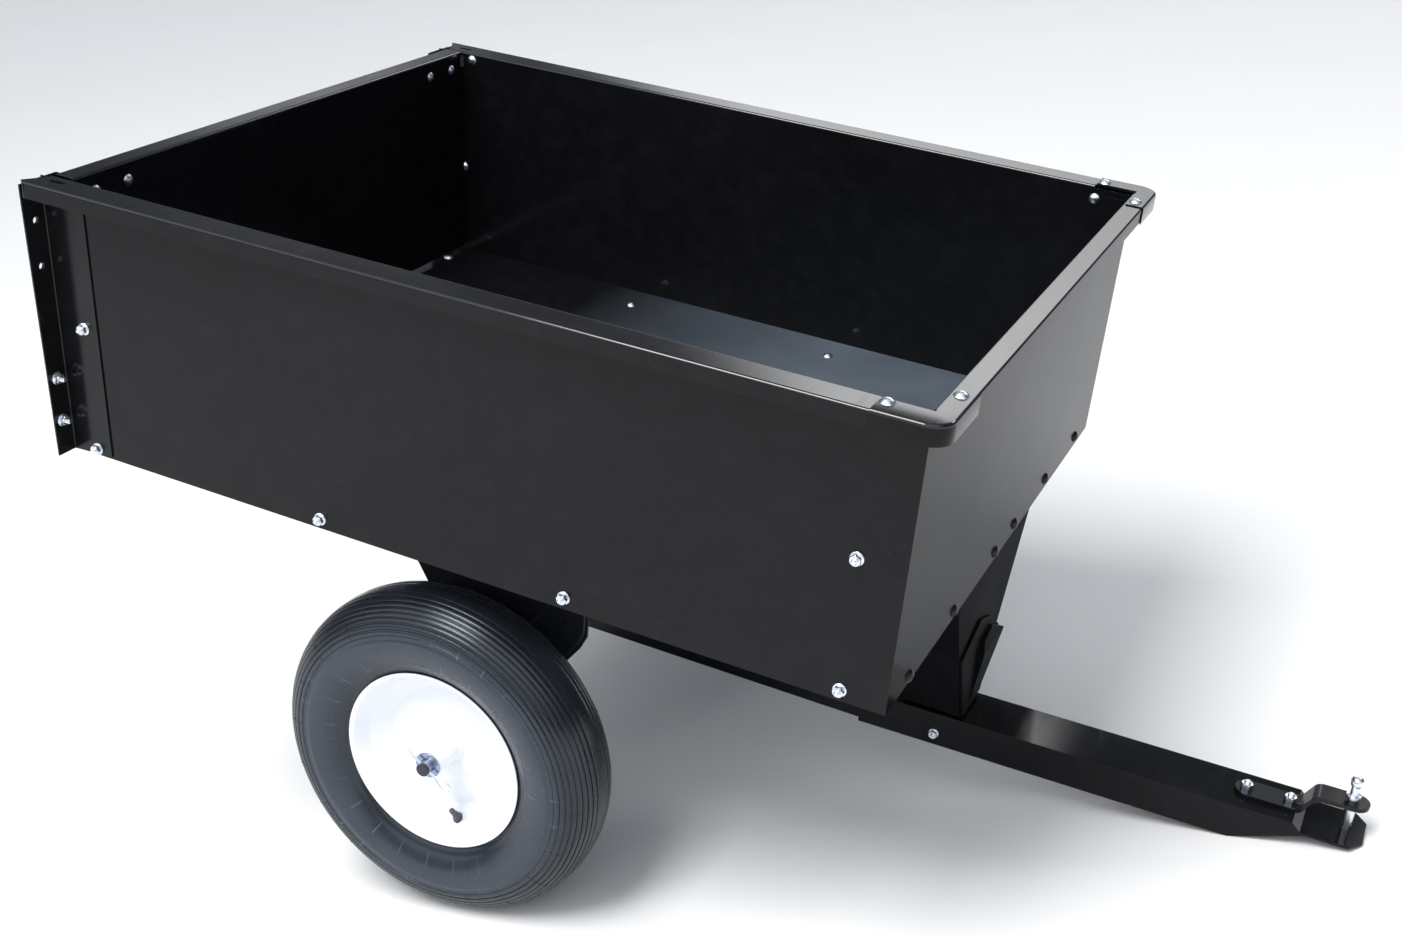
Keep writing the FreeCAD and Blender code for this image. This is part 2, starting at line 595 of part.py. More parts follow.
# ---------------------------------------------------------------- running gear: tongue
TT = dim("tongue_sheet")
tw2 = dim("tongue_tail_width") / 2
tail_top, tail_bot = -dim("tongue_tail_top"), -dim("tongue_tail_bottom")
b = prism("tongue_rear", "YZ_Plane",
          [(-tw2, tail_bot), (-tw2, tail_top), (tw2, tail_top), (tw2, tail_bot), (tw2 - TT, tail_bot),
           (tw2 - TT, tail_top - TT), (-tw2 + TT, tail_top - TT), (-tw2 + TT, tail_bot)][::-1],
          AX - 34, dim("tongue_start") + 110 - (AX - 34))
cut_circles(b, "XZ_Plane", [(AX, -AD, dim("axle_radius"))], "axle_hole")
piece(b)

# The front channel lies over the rear one and rises slightly; it is drawn along its own
# axis, with its top at zero, and then tilted into place.
slope = math.atan(D["tongue_slope"])
fh = dim("tongue_height")
fw2 = dim("tongue_width") / 2
fx0 = dim("tongue_start") - 500
fx1 = dim("tongue_tip") - 500
fk = dim("tongue_kink") - 500
b = prism("tongue_front", "YZ_Plane",
          [(-fw2, -fh), (-fw2, TOPZ), (fw2, TOPZ), (fw2, -fh), (fw2 - TT, -fh),
           (fw2 - TT, -TT), (-fw2 + TT, -TT), (-fw2 + TT, -fh)][::-1],
          fx0, fx1 - fx0)
TD = dim("tip_drop")
fs = fx1 - 78          # where the top steps down to the flat tip
cut_poly(b, "XZ_Plane", [(fk, -fh), (fk + 82, -TD - TT), (fx1 + 20, -TD - TT), (fx1 + 20, -fh - 5), (fk, -fh - 5)], "taper")
cut_poly(b, "XZ_Plane", [(fs - 0.8, Q.of(5)), (fs - 0.8, -TT), (fs + 9, -TD - TT), (fx1 + 20, -TD - TT), (fx1 + 20, Q.of(5))],
         "step_clearance")
add_prism(b, "XZ_Plane", [(fs - 4, TOPZ), (fs, TOPZ), (fs + 10, -TD), (fx1, -TD), (fx1, -TD - TT), (fs + 8.5, -TD - TT),
                          (fs - 1.5, -TT), (fs - 4, -TT)][::-1], -fw2, fw2 * 2, "flat_tip")
cut_poly(b, "XY_Plane", [(fx1 - 14, fw2 + 1), (fx1 + 5, fw2 - 22), (fx1 + 5, fw2 + 1)][::-1], "tip_corner_left",
         start=-60.0, length=80.0, reversed_=True)
cut_poly(b, "XY_Plane", [(fx1 - 14, -fw2 - 1), (fx1 + 5, -fw2 - 1), (fx1 + 5, -fw2 + 22)][::-1], "tip_corner_right",
         start=-60.0, length=80.0, reversed_=True)
cut_circles(b, "XZ_Plane", [(Q.of(-24), Q.of(-28.5), 4.2)], "frame_bolt_hole")
FRONT = Placement(Vector(500, 0, -D["tongue_top_500"]), Rotation(Y, -math.degrees(slope)))
piece(b, FRONT)

SW2 = dim("strap_width") / 2
SS = dim("strap_sheet")
SG = dim("strap_gap")
s0 = Q.of(334)
b = prism("hitch_strap", "XZ_Plane",
          [(s0, TOPZ), (s0 + 76, TOPZ), (s0 + 91, SG), (fx1 - 2, SG), (fx1 - 2, SG + SS),
           (s0 + 88, SG + SS), (s0 + 73, SS), (s0, SS)][::-1],
          -SW2, SW2 * 2)
fillet_where(b, SW2 - 0.5, either(edge_at(Z, x=s0.v, y=-SW2.v), edge_at(Z, x=s0.v, y=SW2.v),
                                  edge_at(Z, x=(fx1 - 2).v, y=-SW2.v), edge_at(Z, x=(fx1 - 2).v, y=SW2.v)), "round_ends")
cut_circles(b, "XY_Plane", [(dim("pin_x") - 500, 0, dim("pin_radius") + 0.4)], "pin_hole",
            start=TOPZ + 10, length=60.0, reversed_=True)
piece(b, FRONT)
cut_circles(PIECES[-2][0], "XY_Plane", [(dim("pin_x") - 500, 0, dim("pin_radius") + 0.4)], "pin_hole",
            start=TOPZ - 20, length=40.0, reversed_=True)

# The pin stands in the strap's and tongue's holes; it is drawn on its own axis.
b = new_body("hitch_pin")
sk = new_sketch(b, "pin_section", "XZ_Plane")
pr = dim("pin_radius")
add_polygon(sk, [(Q.of(0), Q.of(-17)), (pr - 1.5, Q.of(-17)), (pr, Q.of(-15.5)), (pr, SG + SS + 4), (pr + 2.2, SG + SS + 4.5),
                 (pr + 2.2, SG + SS + 7.5), (pr - 1.2, SG + SS + 8.5), (pr - 1.2, SG + SS + 19), (pr + 0.6, SG + SS + 21),
                 (pr + 1.6, SG + SS + 24), (pr + 1.6, SG + SS + 26.5), (pr + 0.6, SG + SS + 29.5), (pr - 2.2, SG + SS + 31.6),
                 (Q.of(0), SG + SS + 32.2)])
f = b.newObject("PartDesign::Revolution", "pin_turned")
f.Profile = sk
f.ReferenceAxis = (sk, ["V_Axis"])
f.Angle = 360.0
DOC.recompute()
piece(b, FRONT * Placement(Vector(D["pin_x"] - 500, 0, 0), Rotation()))

# ---------------------------------------------------------------- wheels
RR, RH, RT = dim("rim_radius"), dim("rim_half"), dim("rim_sheet")
TR, TH = dim("tyre_radius"), dim("tyre_half")


def revolve(body, sk, name):
    f = body.newObject("PartDesign::Revolution", name)
    f.Profile = sk
    f.ReferenceAxis = (sk, ["H_Axis"])
    f.Angle = 360.0
    DOC.recompute()
    return f


AR = dim("axle_radius")
for side, sgn in (("right", -1), ("left", 1)):
    spot = Placement(Vector(D["axle_x"], sgn * D["wheel_y"], -D["axle_drop"]),
                     Rotation(Z, 0 if sgn < 0 else 180))
    # outboard is -Y in the wheel's own frame
    b = new_body("tyre_" + side)
    sk = new_sketch(b, "tyre_section", "YZ_Plane")
    half = [(RH - 2.4, RR + 1.6), (TH - 13, RR + 4.5), (TH - 5, RR + 14), (TH - 0.6, RR + 28), (TH, RR + 42),
            (TH - 1.8, RR + 56), (TH - 6.5, TR - 21), (TH - 14, TR - 11), (TH - 25, TR - 4), (TH - 37, TR - 0.9)]
    inner = [(RH - 4.4, RR - 2.2), (RH - 20.5, RR - 12.2)]
    add_polygon(sk, [(-y, r) for y, r in reversed(inner)] + [(-y, r) for y, r in half] + [(Q.of(0), TR)]
                + [(y, r) for y, r in reversed(half)] + [(y, r) for y, r in inner])
    revolve(b, sk, "tyre_ring")
    piece(b, spot)
    # pressed rim: flange, bead slope, a dished cone and a flat disc welded to the hub
    b = new_body("rim_" + side)
    sk = new_sketch(b, "rim_section", "YZ_Plane")
    hub_r = dim("hub_radius")
    add_polygon(sk, [(-RH, RR), (-RH + 1.8, RR), (-RH + 4, RR - 3.7), (-RH + 20.5, RR - 13.2), (RH - 20.5, RR - 13.2),
                     (RH - 4, RR - 3.7), (RH - 1.8, RR), (RH, RR), (RH, RR - 2), (RH - 2.3, RR - 5.9),
                     (RH - 19.7, RR - 15), (-RH + 22.03, RR - 15), (Q.of(4.2), RR - 37.4), (Q.of(4.2), hub_r + 0.1),
                     (Q.of(2.4), hub_r + 0.1), (Q.of(2.4), RR - 38), (-RH + 20.2, RR - 15.6), (-RH + 2.3, RR - 5.9),
                     (-RH, RR - 2)])
    revolve(b, sk, "rim_ring")
    cut_circles(b, "XZ_Plane", [(Q.of(28), Q.of(-80), Q.of(6.0))], "valve_hole", start=Q.of(-12), length=60.0, reversed_=True)
    piece(b, spot)
    b = new_body("hub_" + side)
    sk = new_sketch(b, "hub_section", "YZ_Plane")
    hh = dim("hub_half")
    ar = AR + 0.3
    add_polygon(sk, [(-hh, ar), (-hh, hub_r - 2), (-hh + 2, hub_r), (hh - 2, hub_r), (hh, hub_r - 2), (hh, ar)])
    revolve(b, sk, "hub_tube")
    piece(b, spot)

    # a washer on the axle outside the hub, and a spacer tube between hub and leg
    b = new_body("axle_washer_" + side)
    sk = new_sketch(b, "outer_washer", "XZ_Plane", Q.of(41.5))
    add_circle(sk, 0, 0, Q.of(16.0))
    add_circle(sk, 0, 0, AR + 0.2)
    pad(b, sk, 2.5, name="outer_washer_pad")
    piece(b, spot)
    b = new_body("axle_spacer_" + side)
    sk = new_sketch(b, "spacer_section", "YZ_Plane")
    y_leg = dim("wheel_y") - dim("leg_y") - 0.5
    add_polygon(sk, [(hh + 0.5, AR + 0.3), (hh + 0.5, AR + 4.0), (y_leg, AR + 4.0), (y_leg, AR + 0.3)][::-1])
    revolve(b, sk, "spacer_tube")
    piece(b, spot)

# ---------------------------------------------------------------- parked pose
# The cart leans nose down about its axle until the heel of the tongue's flanges meets
# the floor that the tyres stand on.
heel = FRONT.multVec(Vector(D["tongue_kink"] - 500, 0, -D["tongue_height"]))
dx, dz = heel.x - D["axle_x"], heel.z + D["axle_drop"]
reach = math.hypot(dx, dz)
pitch = math.asin(D["tyre_radius"] / reach) + math.atan2(dz, dx)
PITCH = math.degrees(pitch)
ROW_SHIFT_X = -261.0
PARK = (Placement(Vector(ROW_SHIFT_X, 0, D["tyre_radius"]), Rotation(Y, PITCH))
        * Placement(Vector(-D["axle_x"], 0, D["axle_drop"]), Rotation()))

for obj, local in PIECES:
    obj.Placement = PARK * local
DOC.recompute()

# ---------------------------------------------------------------- checks and export
for o in DOC.Objects:
    if any(s in ("Invalid", "Error") for s in o.State):
        raise RuntimeError("%s is %s" % (o.Label, o.State))
os.makedirs("parts", exist_ok=True)
for old in os.listdir("parts"):
    if old.endswith(".step"):
        os.remove(os.path.join("parts", old))
lo, hi = [1e9] * 3, [-1e9] * 3
for obj, local in PIECES:
    shape = obj.Shape
    if shape.isNull() or not shape.isValid() or not shape.Solids:
        raise RuntimeError("bad shape in " + obj.Label)
    bb = shape.BoundBox
    for i, (a, c) in enumerate(((bb.XMin, bb.XMax), (bb.YMin, bb.YMax), (bb.ZMin, bb.ZMax))):
        lo[i], hi[i] = min(lo[i], a), max(hi[i], c)
for obj, local in PIECES:
    obj.Shape.exportStep(os.path.join("parts", obj.Label + ".step"))
print("pieces %d  pitch %.6f deg" % (len(PIECES), PITCH))
print("box", [round(v, 1) for v in lo], [round(v, 1) for v in hi])
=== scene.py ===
import json
import math
import random

import bmesh
import bpy
from mathutils import Matrix, Quaternion, Vector


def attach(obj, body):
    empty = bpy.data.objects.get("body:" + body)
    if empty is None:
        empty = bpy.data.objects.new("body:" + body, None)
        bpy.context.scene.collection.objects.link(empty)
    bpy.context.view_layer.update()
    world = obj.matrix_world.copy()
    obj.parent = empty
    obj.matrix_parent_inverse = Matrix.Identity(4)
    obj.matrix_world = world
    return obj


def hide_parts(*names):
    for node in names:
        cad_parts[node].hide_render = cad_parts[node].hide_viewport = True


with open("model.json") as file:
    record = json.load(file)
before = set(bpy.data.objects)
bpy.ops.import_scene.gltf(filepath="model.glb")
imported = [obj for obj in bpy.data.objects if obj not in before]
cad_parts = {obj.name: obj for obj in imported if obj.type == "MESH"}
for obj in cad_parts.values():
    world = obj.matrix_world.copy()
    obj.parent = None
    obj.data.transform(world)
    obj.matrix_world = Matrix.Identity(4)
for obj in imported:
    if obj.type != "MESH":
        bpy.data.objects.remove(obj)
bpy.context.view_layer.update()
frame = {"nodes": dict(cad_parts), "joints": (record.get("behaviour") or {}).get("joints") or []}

NODES = frame["nodes"]
JOINTS = {j["name"]: j for j in frame["joints"]}

# ---------------------------------------------------------------- the cart's own level frame
# Lengths below are millimetres in the cart's level frame: +X forward, +Y left, +Z up, zero at
# the middle of the bed's mouth. The parked pitch and the axle's place come from the frame.
RAKE = math.atan2(21.0, 337.0)
AXLE = Vector((-6.0, 0.0, -584.0))
_ax = Vector(JOINTS["tailgate_lift"]["axis"])
PITCH = math.atan2(_ax.x, _ax.z) + RAKE
_hub = Vector(JOINTS["bed_tip"]["pos_m"])
ROT = Matrix.Rotation(PITCH, 4, "Y")
LEVEL = (Matrix.Translation(Vector((_hub.x, 0, _hub.z))) @ ROT
         @ Matrix.Scale(0.001, 4) @ Matrix.Translation(-AXLE))
SLOPE = math.atan(0.0236)
TONGUE = Matrix.Translation(Vector((500.0, 0.0, -564.5))) @ Matrix.Rotation(-SLOPE, 4, "Y")
RAKED = Matrix.Translation(Vector((-549.0, 0.0, 0.0))) @ Matrix.Rotation(-RAKE, 4, "Y")

# ---------------------------------------------------------------- camera
cam_data = bpy.data.cameras.new("camera")
cam = bpy.data.objects.new("camera", cam_data)
bpy.context.scene.collection.objects.link(cam)
bpy.context.scene.camera = cam
cam_data.sensor_fit = "HORIZONTAL"
cam_data.sensor_width = 36.0
cam_data.lens = 1757.52 / 1402.0 * 36.0
cam_data.clip_start, cam_data.clip_end = 0.05, 100.0
cam_data.dof.use_dof = False
right = Vector((0.90065064, 0.42544299, 0.08846863))
down = Vector((0.26295085, -0.37150181, -0.89041746))
look = Vector((-0.34595561, 0.82521795, -0.44646394))
eye = LEVEL @ Vector((885.402, -1839.897, 648.614))
basis = Matrix((right, -down, -look)).transposed()
cam.matrix_world = Matrix.Translation(eye) @ (ROT.to_3x3() @ basis).to_4x4()


# ---------------------------------------------------------------- node material helpers
class Mat:
    """Builds one procedural material."""

    def __init__(self, name):
        self.m = bpy.data.materials.new(name)
        self.m.use_nodes = True
        self.t = self.m.node_tree
        self.t.nodes.clear()
        self.out = self.node("ShaderNodeOutputMaterial")
        self.bsdf = self.node("ShaderNodeBsdfPrincipled")
        self.link(self.bsdf.outputs[0], self.out.inputs[0])
        self.coord = self.node("ShaderNodeTexCoord").outputs["Object"]

    def node(self, kind, **props):
        n = self.t.nodes.new(kind)
        for k, v in props.items():
            setattr(n, k, v)
        return n

    def link(self, a, b):
        self.t.links.new(a, b)

    def set(self, **vals):
        for k, v in vals.items():
            self.bsdf.inputs[k.replace("_", " ")].default_value = v

    def mapped(self, scale, rot=(0, 0, 0), loc=(0, 0, 0)):
        n = self.node("ShaderNodeMapping")
        n.inputs["Scale"].default_value = scale
        n.inputs["Rotation"].default_value = rot
        n.inputs["Location"].default_value = loc
        self.link(self.coord, n.inputs["Vector"])
        return n.outputs[0]

    def noise(self, scale, detail=4.0, rough=0.55, vec=None, distortion=0.0):
        n = self.node("ShaderNodeTexNoise")
        n.inputs["Scale"].default_value = scale
        n.inputs["Detail"].default_value = detail
        n.inputs["Roughness"].default_value = rough
        n.inputs["Distortion"].default_value = distortion
        self.link(vec or self.coord, n.inputs["Vector"])
        return n.outputs["Fac"]

    def voronoi(self, scale, vec=None, feature="F1", randomness=1.0):
        n = self.node("ShaderNodeTexVoronoi", feature=feature)
        n.inputs["Scale"].default_value = scale
        n.inputs["Randomness"].default_value = randomness
        self.link(vec or self.coord, n.inputs["Vector"])
        return n.outputs["Distance"]

    def ramp(self, fac, a, b, lo=0.0, hi=1.0):
        n = self.node("ShaderNodeMapRange")
        n.clamp = True
        n.inputs["From Min"].default_value = a
        n.inputs["From Max"].default_value = b
        n.inputs["To Min"].default_value = lo
        n.inputs["To Max"].default_value = hi
        self.link(fac, n.inputs["Value"])
        return n.outputs["Result"]

    def math(self, op, a, b=0.0, clamp=False):
        n = self.node("ShaderNodeMath", operation=op, use_clamp=clamp)
        for i, v in enumerate((a, b)):
            if isinstance(v, (int, float)):
                n.inputs[i].default_value = v
            else:
                self.link(v, n.inputs[i])
        return n.outputs[0]

    def mix(self, fac, a, b):
        n = self.node("ShaderNodeMix", data_type="RGBA")
        if isinstance(fac, (int, float)):
            n.inputs["Factor"].default_value = fac
        else:
            self.link(fac, n.inputs["Factor"])
        for key, v in (("A", a), ("B", b)):
            sock = [s for s in n.inputs if s.name == key and s.type == "RGBA"][0]
            if isinstance(v, tuple):
                sock.default_value = (v[0], v[1], v[2], 1.0)
            else:
                self.link(v, sock)
        return [s for s in n.outputs if s.type == "RGBA"][0]

    def axis(self, which):
        n = self.node("ShaderNodeSeparateXYZ")
        self.link(self.coord, n.inputs[0])
        return n.outputs[which]

    def color(self, out):
        self.link(out, self.bsdf.inputs["Base Color"])

    def rough(self, out):
        self.link(out, self.bsdf.inputs["Roughness"])

    def bump(self, *layers):
        """layers: (height output, strength, distance in metres)"""
        prev = None
        for h, strength, dist in layers:
            n = self.node("ShaderNodeBump")
            n.inputs["Strength"].default_value = strength
            n.inputs["Distance"].default_value = dist
            self.link(h, n.inputs["Height"])
            if prev is not None:
                self.link(prev, n.inputs["Normal"])
            prev = n.outputs["Normal"]
        self.link(prev, self.bsdf.inputs["Normal"])


def black_paint(name, wave=1.0, dust=1.0, base=(0.0040, 0.0042, 0.0050), rough=(0.11, 0.18), ior=1.35, dust_and_light_film=None):
    m = Mat(name)
    broad = m.noise(2.6, 3.0, 0.5)
    fine = m.noise(38.0, 5.0, 0.6)
    specks = m.ramp(m.voronoi(160.0), 0.0, 0.10, 1.0, 0.0)
    speck_field = m.ramp(m.noise(9.0, 2.0), 0.52, 0.72)
    speck = m.math("MULTIPLY", m.math("MULTIPLY", specks, speck_field), 0.55 * dust)
    streak_vec = m.mapped((3.0, 3.0, 90.0))
    streak = m.noise(4.0, 4.0, 0.6, streak_vec)
    c = m.mix(m.ramp(broad, 0.3, 0.7), base, tuple(v * 1.55 for v in base))
    c = m.mix(m.math("MULTIPLY", m.ramp(fine, 0.45, 0.85), 0.16 * dust), c, (0.030, 0.031, 0.035))
    c = m.mix(speck, c, (0.16, 0.165, 0.175))
    if dust_and_light_film is not None:
        # painted light mixed with dust: a pale bluish film that lightens the floor towards the front, broken up by
        # noise
        dust_and_light_mask = m.math("MULTIPLY", m.ramp(m.axis("X"), dust_and_light_film[0], dust_and_light_film[1]), m.ramp(m.noise(7.0, 4.0, 0.6), 0.2, 0.75, 0.65, 1.0))
        c = m.mix(dust_and_light_mask, c, dust_and_light_film[2])
    m.color(c)
    r = m.ramp(m.noise(6.0, 6.0, 0.62), 0.3, 0.75, rough[0], rough[1])
    r = m.math("ADD", r, m.math("MULTIPLY", m.ramp(streak, 0.55, 0.8), 0.05))
    r = m.math("ADD", r, m.math("MULTIPLY", speck, 0.4), clamp=True)
    m.rough(r)
    m.set(IOR=ior)
    m.bump((m.noise(2.2, 1.0, 0.4), 0.35 * wave, 0.0035),
           (m.noise(420.0, 2.0, 0.5), 0.10, 0.00016),
           (m.noise(1500.0, 1.0, 0.5), 0.05, 0.00006))
    return m.m


def white_paint(name):
    m = Mat(name)
    n = m.noise(14.0, 5.0, 0.6)
    c = m.mix(m.ramp(n, 0.35, 0.8), (0.88, 0.90, 0.94), (0.83, 0.855, 0.91))
    grime = m.ramp(m.noise(60.0, 6.0, 0.7), 0.62, 0.85, 0.0, 0.12)
    c = m.mix(grime, c, (0.52, 0.53, 0.56))
    m.color(c)
    m.rough(m.ramp(m.noise(25.0, 4.0), 0.3, 0.8, 0.16, 0.30))
    m.set(IOR=1.5, Coat_Weight=0.4, Coat_Roughness=0.08)
    m.bump((m.noise(9.0, 2.0), 0.12, 0.0012), (m.noise(520.0, 2.0), 0.10, 0.00012))
    return m.m


def zinc(name, tint=(0.70, 0.72, 0.76), rough=(0.16, 0.34)):
    m = Mat(name)
    n = m.noise(180.0, 5.0, 0.65)
    big = m.noise(45.0, 3.0, 0.5)
    c = m.mix(m.ramp(big, 0.35, 0.7), tint, (tint[0] * 0.86, tint[1] * 0.89, tint[2] * 0.98))
    c = m.mix(m.ramp(n, 0.60, 0.9, 0.0, 0.5), c, (0.42, 0.44, 0.50))
    m.color(c)
    m.rough(m.ramp(n, 0.25, 0.8, rough[0], rough[1]))
    m.set(Metallic=1.0)
    m.bump((m.noise(900.0, 3.0), 0.15, 0.00008))
    return m.m


def tyre_rubber(name):
    m = Mat(name)
    blotch = m.noise(11.0, 5.0, 0.6)
    fine = m.noise(240.0, 5.0, 0.65)
    dx, dz = m.math("SUBTRACT", m.axis("X"), _hub.x), m.math("SUBTRACT", m.axis("Z"), _hub.z)
    reach = m.math("SQRT", m.math("ADD", m.math("MULTIPLY", dx, dx), m.math("MULTIPLY", dz, dz)))
    c = m.mix(m.ramp(blotch, 0.3, 0.75), (0.0060, 0.0072, 0.0098), (0.0100, 0.0120, 0.0165))
    # painted sheen with wax bloom: a pale bluish band where the sidewall bulges, thin towards the bead and the tread
    bloom_and_sheen = m.math("MULTIPLY", m.ramp(reach, 0.120, 0.146), m.ramp(reach, 0.158, 0.184, 1.0, 0.0))
    c = m.mix(m.math("MULTIPLY", bloom_and_sheen, m.ramp(m.noise(17.0, 4.0), 0.2, 0.7, 0.65, 1.0)), c, (0.028, 0.036, 0.053))
    # fine moulding lines that run out across the sidewall
    turn = m.math("ARCTAN2", dz, dx)
    for count, lo, hi in ((23.0, 0.126, 0.146), (31.0, 0.163, 0.176)):
        part = m.math("FRACT", m.math("MULTIPLY", turn, count / (2 * math.pi)))
        line = m.ramp(m.math("ABSOLUTE", m.math("SUBTRACT", part, 0.5)), 0.0, 0.0013 * count / 1.9, 1.0, 0.0)
        line = m.math("MULTIPLY", line, m.math("MULTIPLY", m.ramp(reach, lo, lo + 0.004), m.ramp(reach, hi - 0.004, hi, 1.0, 0.0)))
        c = m.mix(m.math("MULTIPLY", line, m.ramp(m.noise(9.0, 2.0), 0.42, 0.62, 0.0, 0.8)), c, (0.20, 0.23, 0.28))
    c = m.mix(m.ramp(fine, 0.62, 0.85, 0.0, 0.45), c, (0.062, 0.071, 0.088))
    scuff = m.math("MULTIPLY", m.ramp(m.voronoi(120.0), 0.0, 0.07, 1.0, 0.0), m.ramp(m.noise(13.0, 2.0), 0.55, 0.7))
    c = m.mix(m.math("MULTIPLY", scuff, 0.6), c, (0.30, 0.33, 0.37))
    m.color(c)
    m.rough(m.ramp(m.noise(30.0, 5.0, 0.6), 0.3, 0.75, 0.22, 0.33))
    # painted reflection: the tyre's reflections are tinted blue
    m.set(IOR=1.56, Specular_Tint=(0.80, 0.90, 1.0, 1.0))
    m.bump((m.noise(300.0, 4.0, 0.6), 0.22, 0.00035), (m.noise(1400.0, 2.0), 0.15, 0.0001))
    return m.m


def axle_steel(name):
    """Dull zinc shaft whose cut ends are near-black and not metallic."""
    m = Mat(name)
    n = m.noise(180.0, 5.0, 0.65)
    ends = m.ramp(m.math("ABSOLUTE", m.axis("Y")), 0.4420, 0.4428)
    c = m.mix(m.ramp(n, 0.35, 0.8), (0.50, 0.52, 0.57), (0.38, 0.40, 0.45))
    m.color(m.mix(ends, c, (0.020, 0.022, 0.030)))
    m.rough(m.ramp(n, 0.25, 0.8, 0.24, 0.44))
    m.link(m.ramp(ends, 0.0, 1.0, 1.0, 0.0), m.bsdf.inputs["Metallic"])
    m.bump((m.noise(900.0, 3.0), 0.15, 0.00008))
    return m.m


def plain_rubber(name):
    m = Mat(name)
    n = m.noise(300.0, 4.0)
    m.color(m.mix(m.ramp(n, 0.4, 0.8), (0.022, 0.026, 0.042), (0.045, 0.052, 0.075)))
    m.rough(m.ramp(n, 0.3, 0.8, 0.35, 0.55))
    m.bump((m.noise(900.0, 3.0), 0.2, 0.0001))
    return m.m


# painted light and shade: these copies of one black paint differ in IOR so the folds read brighter and the panels,
# front panel, cap lips, tongue and upright read darker
PAINT = black_paint("black_paint_panels", ior=1.29)
PAINT_RIM = black_paint("black_paint_rims", ior=1.37)
PAINT_FOLD = black_paint("black_paint_folds", wave=0.2, rough=(0.07, 0.11), ior=1.62)
PAINT_CAP_LIP = black_paint("black_paint_cap_lips", wave=0.2, rough=(0.08, 0.13), ior=1.26)
PAINT_INNER = PAINT
PAINT_FRAME = black_paint("black_paint_frame", wave=0.3, base=(0.0038, 0.0040, 0.0048), rough=(0.14, 0.24))
# painted light: the legs' black is lifted to about twice the panels' base so they read lighter, a lit copy of the paint
PAINT_LEG_LIT = black_paint("black_paint_legs_lit", wave=0.3, base=(0.0085, 0.0095, 0.0115), rough=(0.26, 0.38))
# painted light, partly dust: the floor pan's pale bluish film lightens it towards the front
PAINT_FLOOR = black_paint("black_paint_floor", dust_and_light_film=(-0.42, -0.05, (0.118, 0.143, 0.176)))
PAINT_FRONT = black_paint("black_paint_front", wave=0.6, ior=1.12)
PAINT_CAP = black_paint("black_paint_caps", wave=0.1, rough=(0.11, 0.17), ior=1.36)
PAINT_TONGUE = black_paint("black_paint_tongue", wave=0.2, base=(0.0034, 0.0036, 0.0042), rough=(0.06, 0.11), ior=1.27)
PAINT_MATTE = black_paint("black_paint_matte", wave=0.3, base=(0.0030, 0.0032, 0.0038), rough=(0.42, 0.54), ior=1.07)
WHITE = white_paint("white_wheel_paint")
ZINC = zinc("bright_zinc", tint=(0.83, 0.86, 0.91), rough=(0.20, 0.38))
AXLE_STEEL = axle_steel("axle_steel")
ZINC_DULL = zinc("axle_zinc", tint=(0.55, 0.57, 0.62), rough=(0.22, 0.42))
ZINC_BLUE = zinc("blue_zinc", tint=(0.36, 0.41, 0.54), rough=(0.14, 0.30))
RUBBER = tyre_rubber("tyre_rubber")
VALVE = plain_rubber("valve_rubber")


# ---------------------------------------------------------------- mesh helpers
def new_object(name, mesh, mat, smooth=35.0, weighted=True):
    for p in mesh.polygons:
        p.use_smooth = True
    mesh.set_sharp_from_angle(angle=math.radians(smooth))
    mesh.materials.clear()
    mesh.materials.append(mat)
    ob = bpy.data.objects.new(name, mesh)
    bpy.context.scene.collection.objects.link(ob)
    if weighted:
        w = ob.modifiers.new("weighted", "WEIGHTED_NORMAL")
        w.keep_sharp = True
        w.weight = 80
    return ob


def from_bmesh(name, bm, mat, matrix=None, smooth=35.0, weighted=True):
    rim = [e for e in bm.edges if len(e.link_faces) == 1]
    if rim:
        bmesh.ops.holes_fill(bm, edges=rim, sides=0)
    bmesh.ops.recalc_face_normals(bm, faces=bm.faces)
    if matrix is not None:
        bm.transform(matrix)
    me = bpy.data.meshes.new(name)
    bm.to_mesh(me)
    bm.free()
    return new_object(name, me, mat, smooth, weighted)


def refined(node, body, mat, width=0.00045, segments=2, angle=28.0, name=None, bends=0.0, tops=None, shape=None):
    """The CAD node's own shape with its edges eased, standing for the node."""
    bm = bmesh.new()
    bm.from_mesh(NODES[node].data)
    bmesh.ops.remove_doubles(bm, verts=bm.verts, dist=2e-6)
    bmesh.ops.dissolve_limit(bm, angle_limit=math.radians(0.4), verts=bm.verts, edges=bm.edges)
    if shape:
        bm.transform(LEVEL.inverted())
        shape(bm)
        bmesh.ops.remove_doubles(bm, verts=bm.verts, dist=0.01)
        bmesh.ops.dissolve_degenerate(bm, edges=bm.edges, dist=0.005)
        bm.transform(LEVEL)
    if bends > 0:
        # crosswise folds of a strap: rounded wide before the sheet's own edges are eased
        folds = [e for e in bm.edges if len(e.link_faces) == 2 and 0.35 < e.calc_face_angle(0.0) < 1.1
                 and abs((e.verts[0].co - e.verts[1].co).normalized().y) > 0.99]
        bmesh.ops.bevel(bm, geom=folds, offset=bends, segments=6, profile=0.5, affect="EDGES",
                        clamp_overlap=True, loop_slide=True)
    sharp = [e for e in bm.edges if len(e.link_faces) == 2 and e.calc_face_angle(0.0) > math.radians(angle)]
    if width > 0:
        bmesh.ops.bevel(bm, geom=sharp, offset=width, segments=segments, profile=0.5, affect="EDGES",
                        clamp_overlap=True, loop_slide=True)
    bmesh.ops.remove_doubles(bm, verts=bm.verts, dist=1e-6)
    ob = from_bmesh(name or node + "_finish", bm, mat)
    if tops:
        rim_paint(ob, tops)
    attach(ob, body)
    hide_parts(node)
    return ob


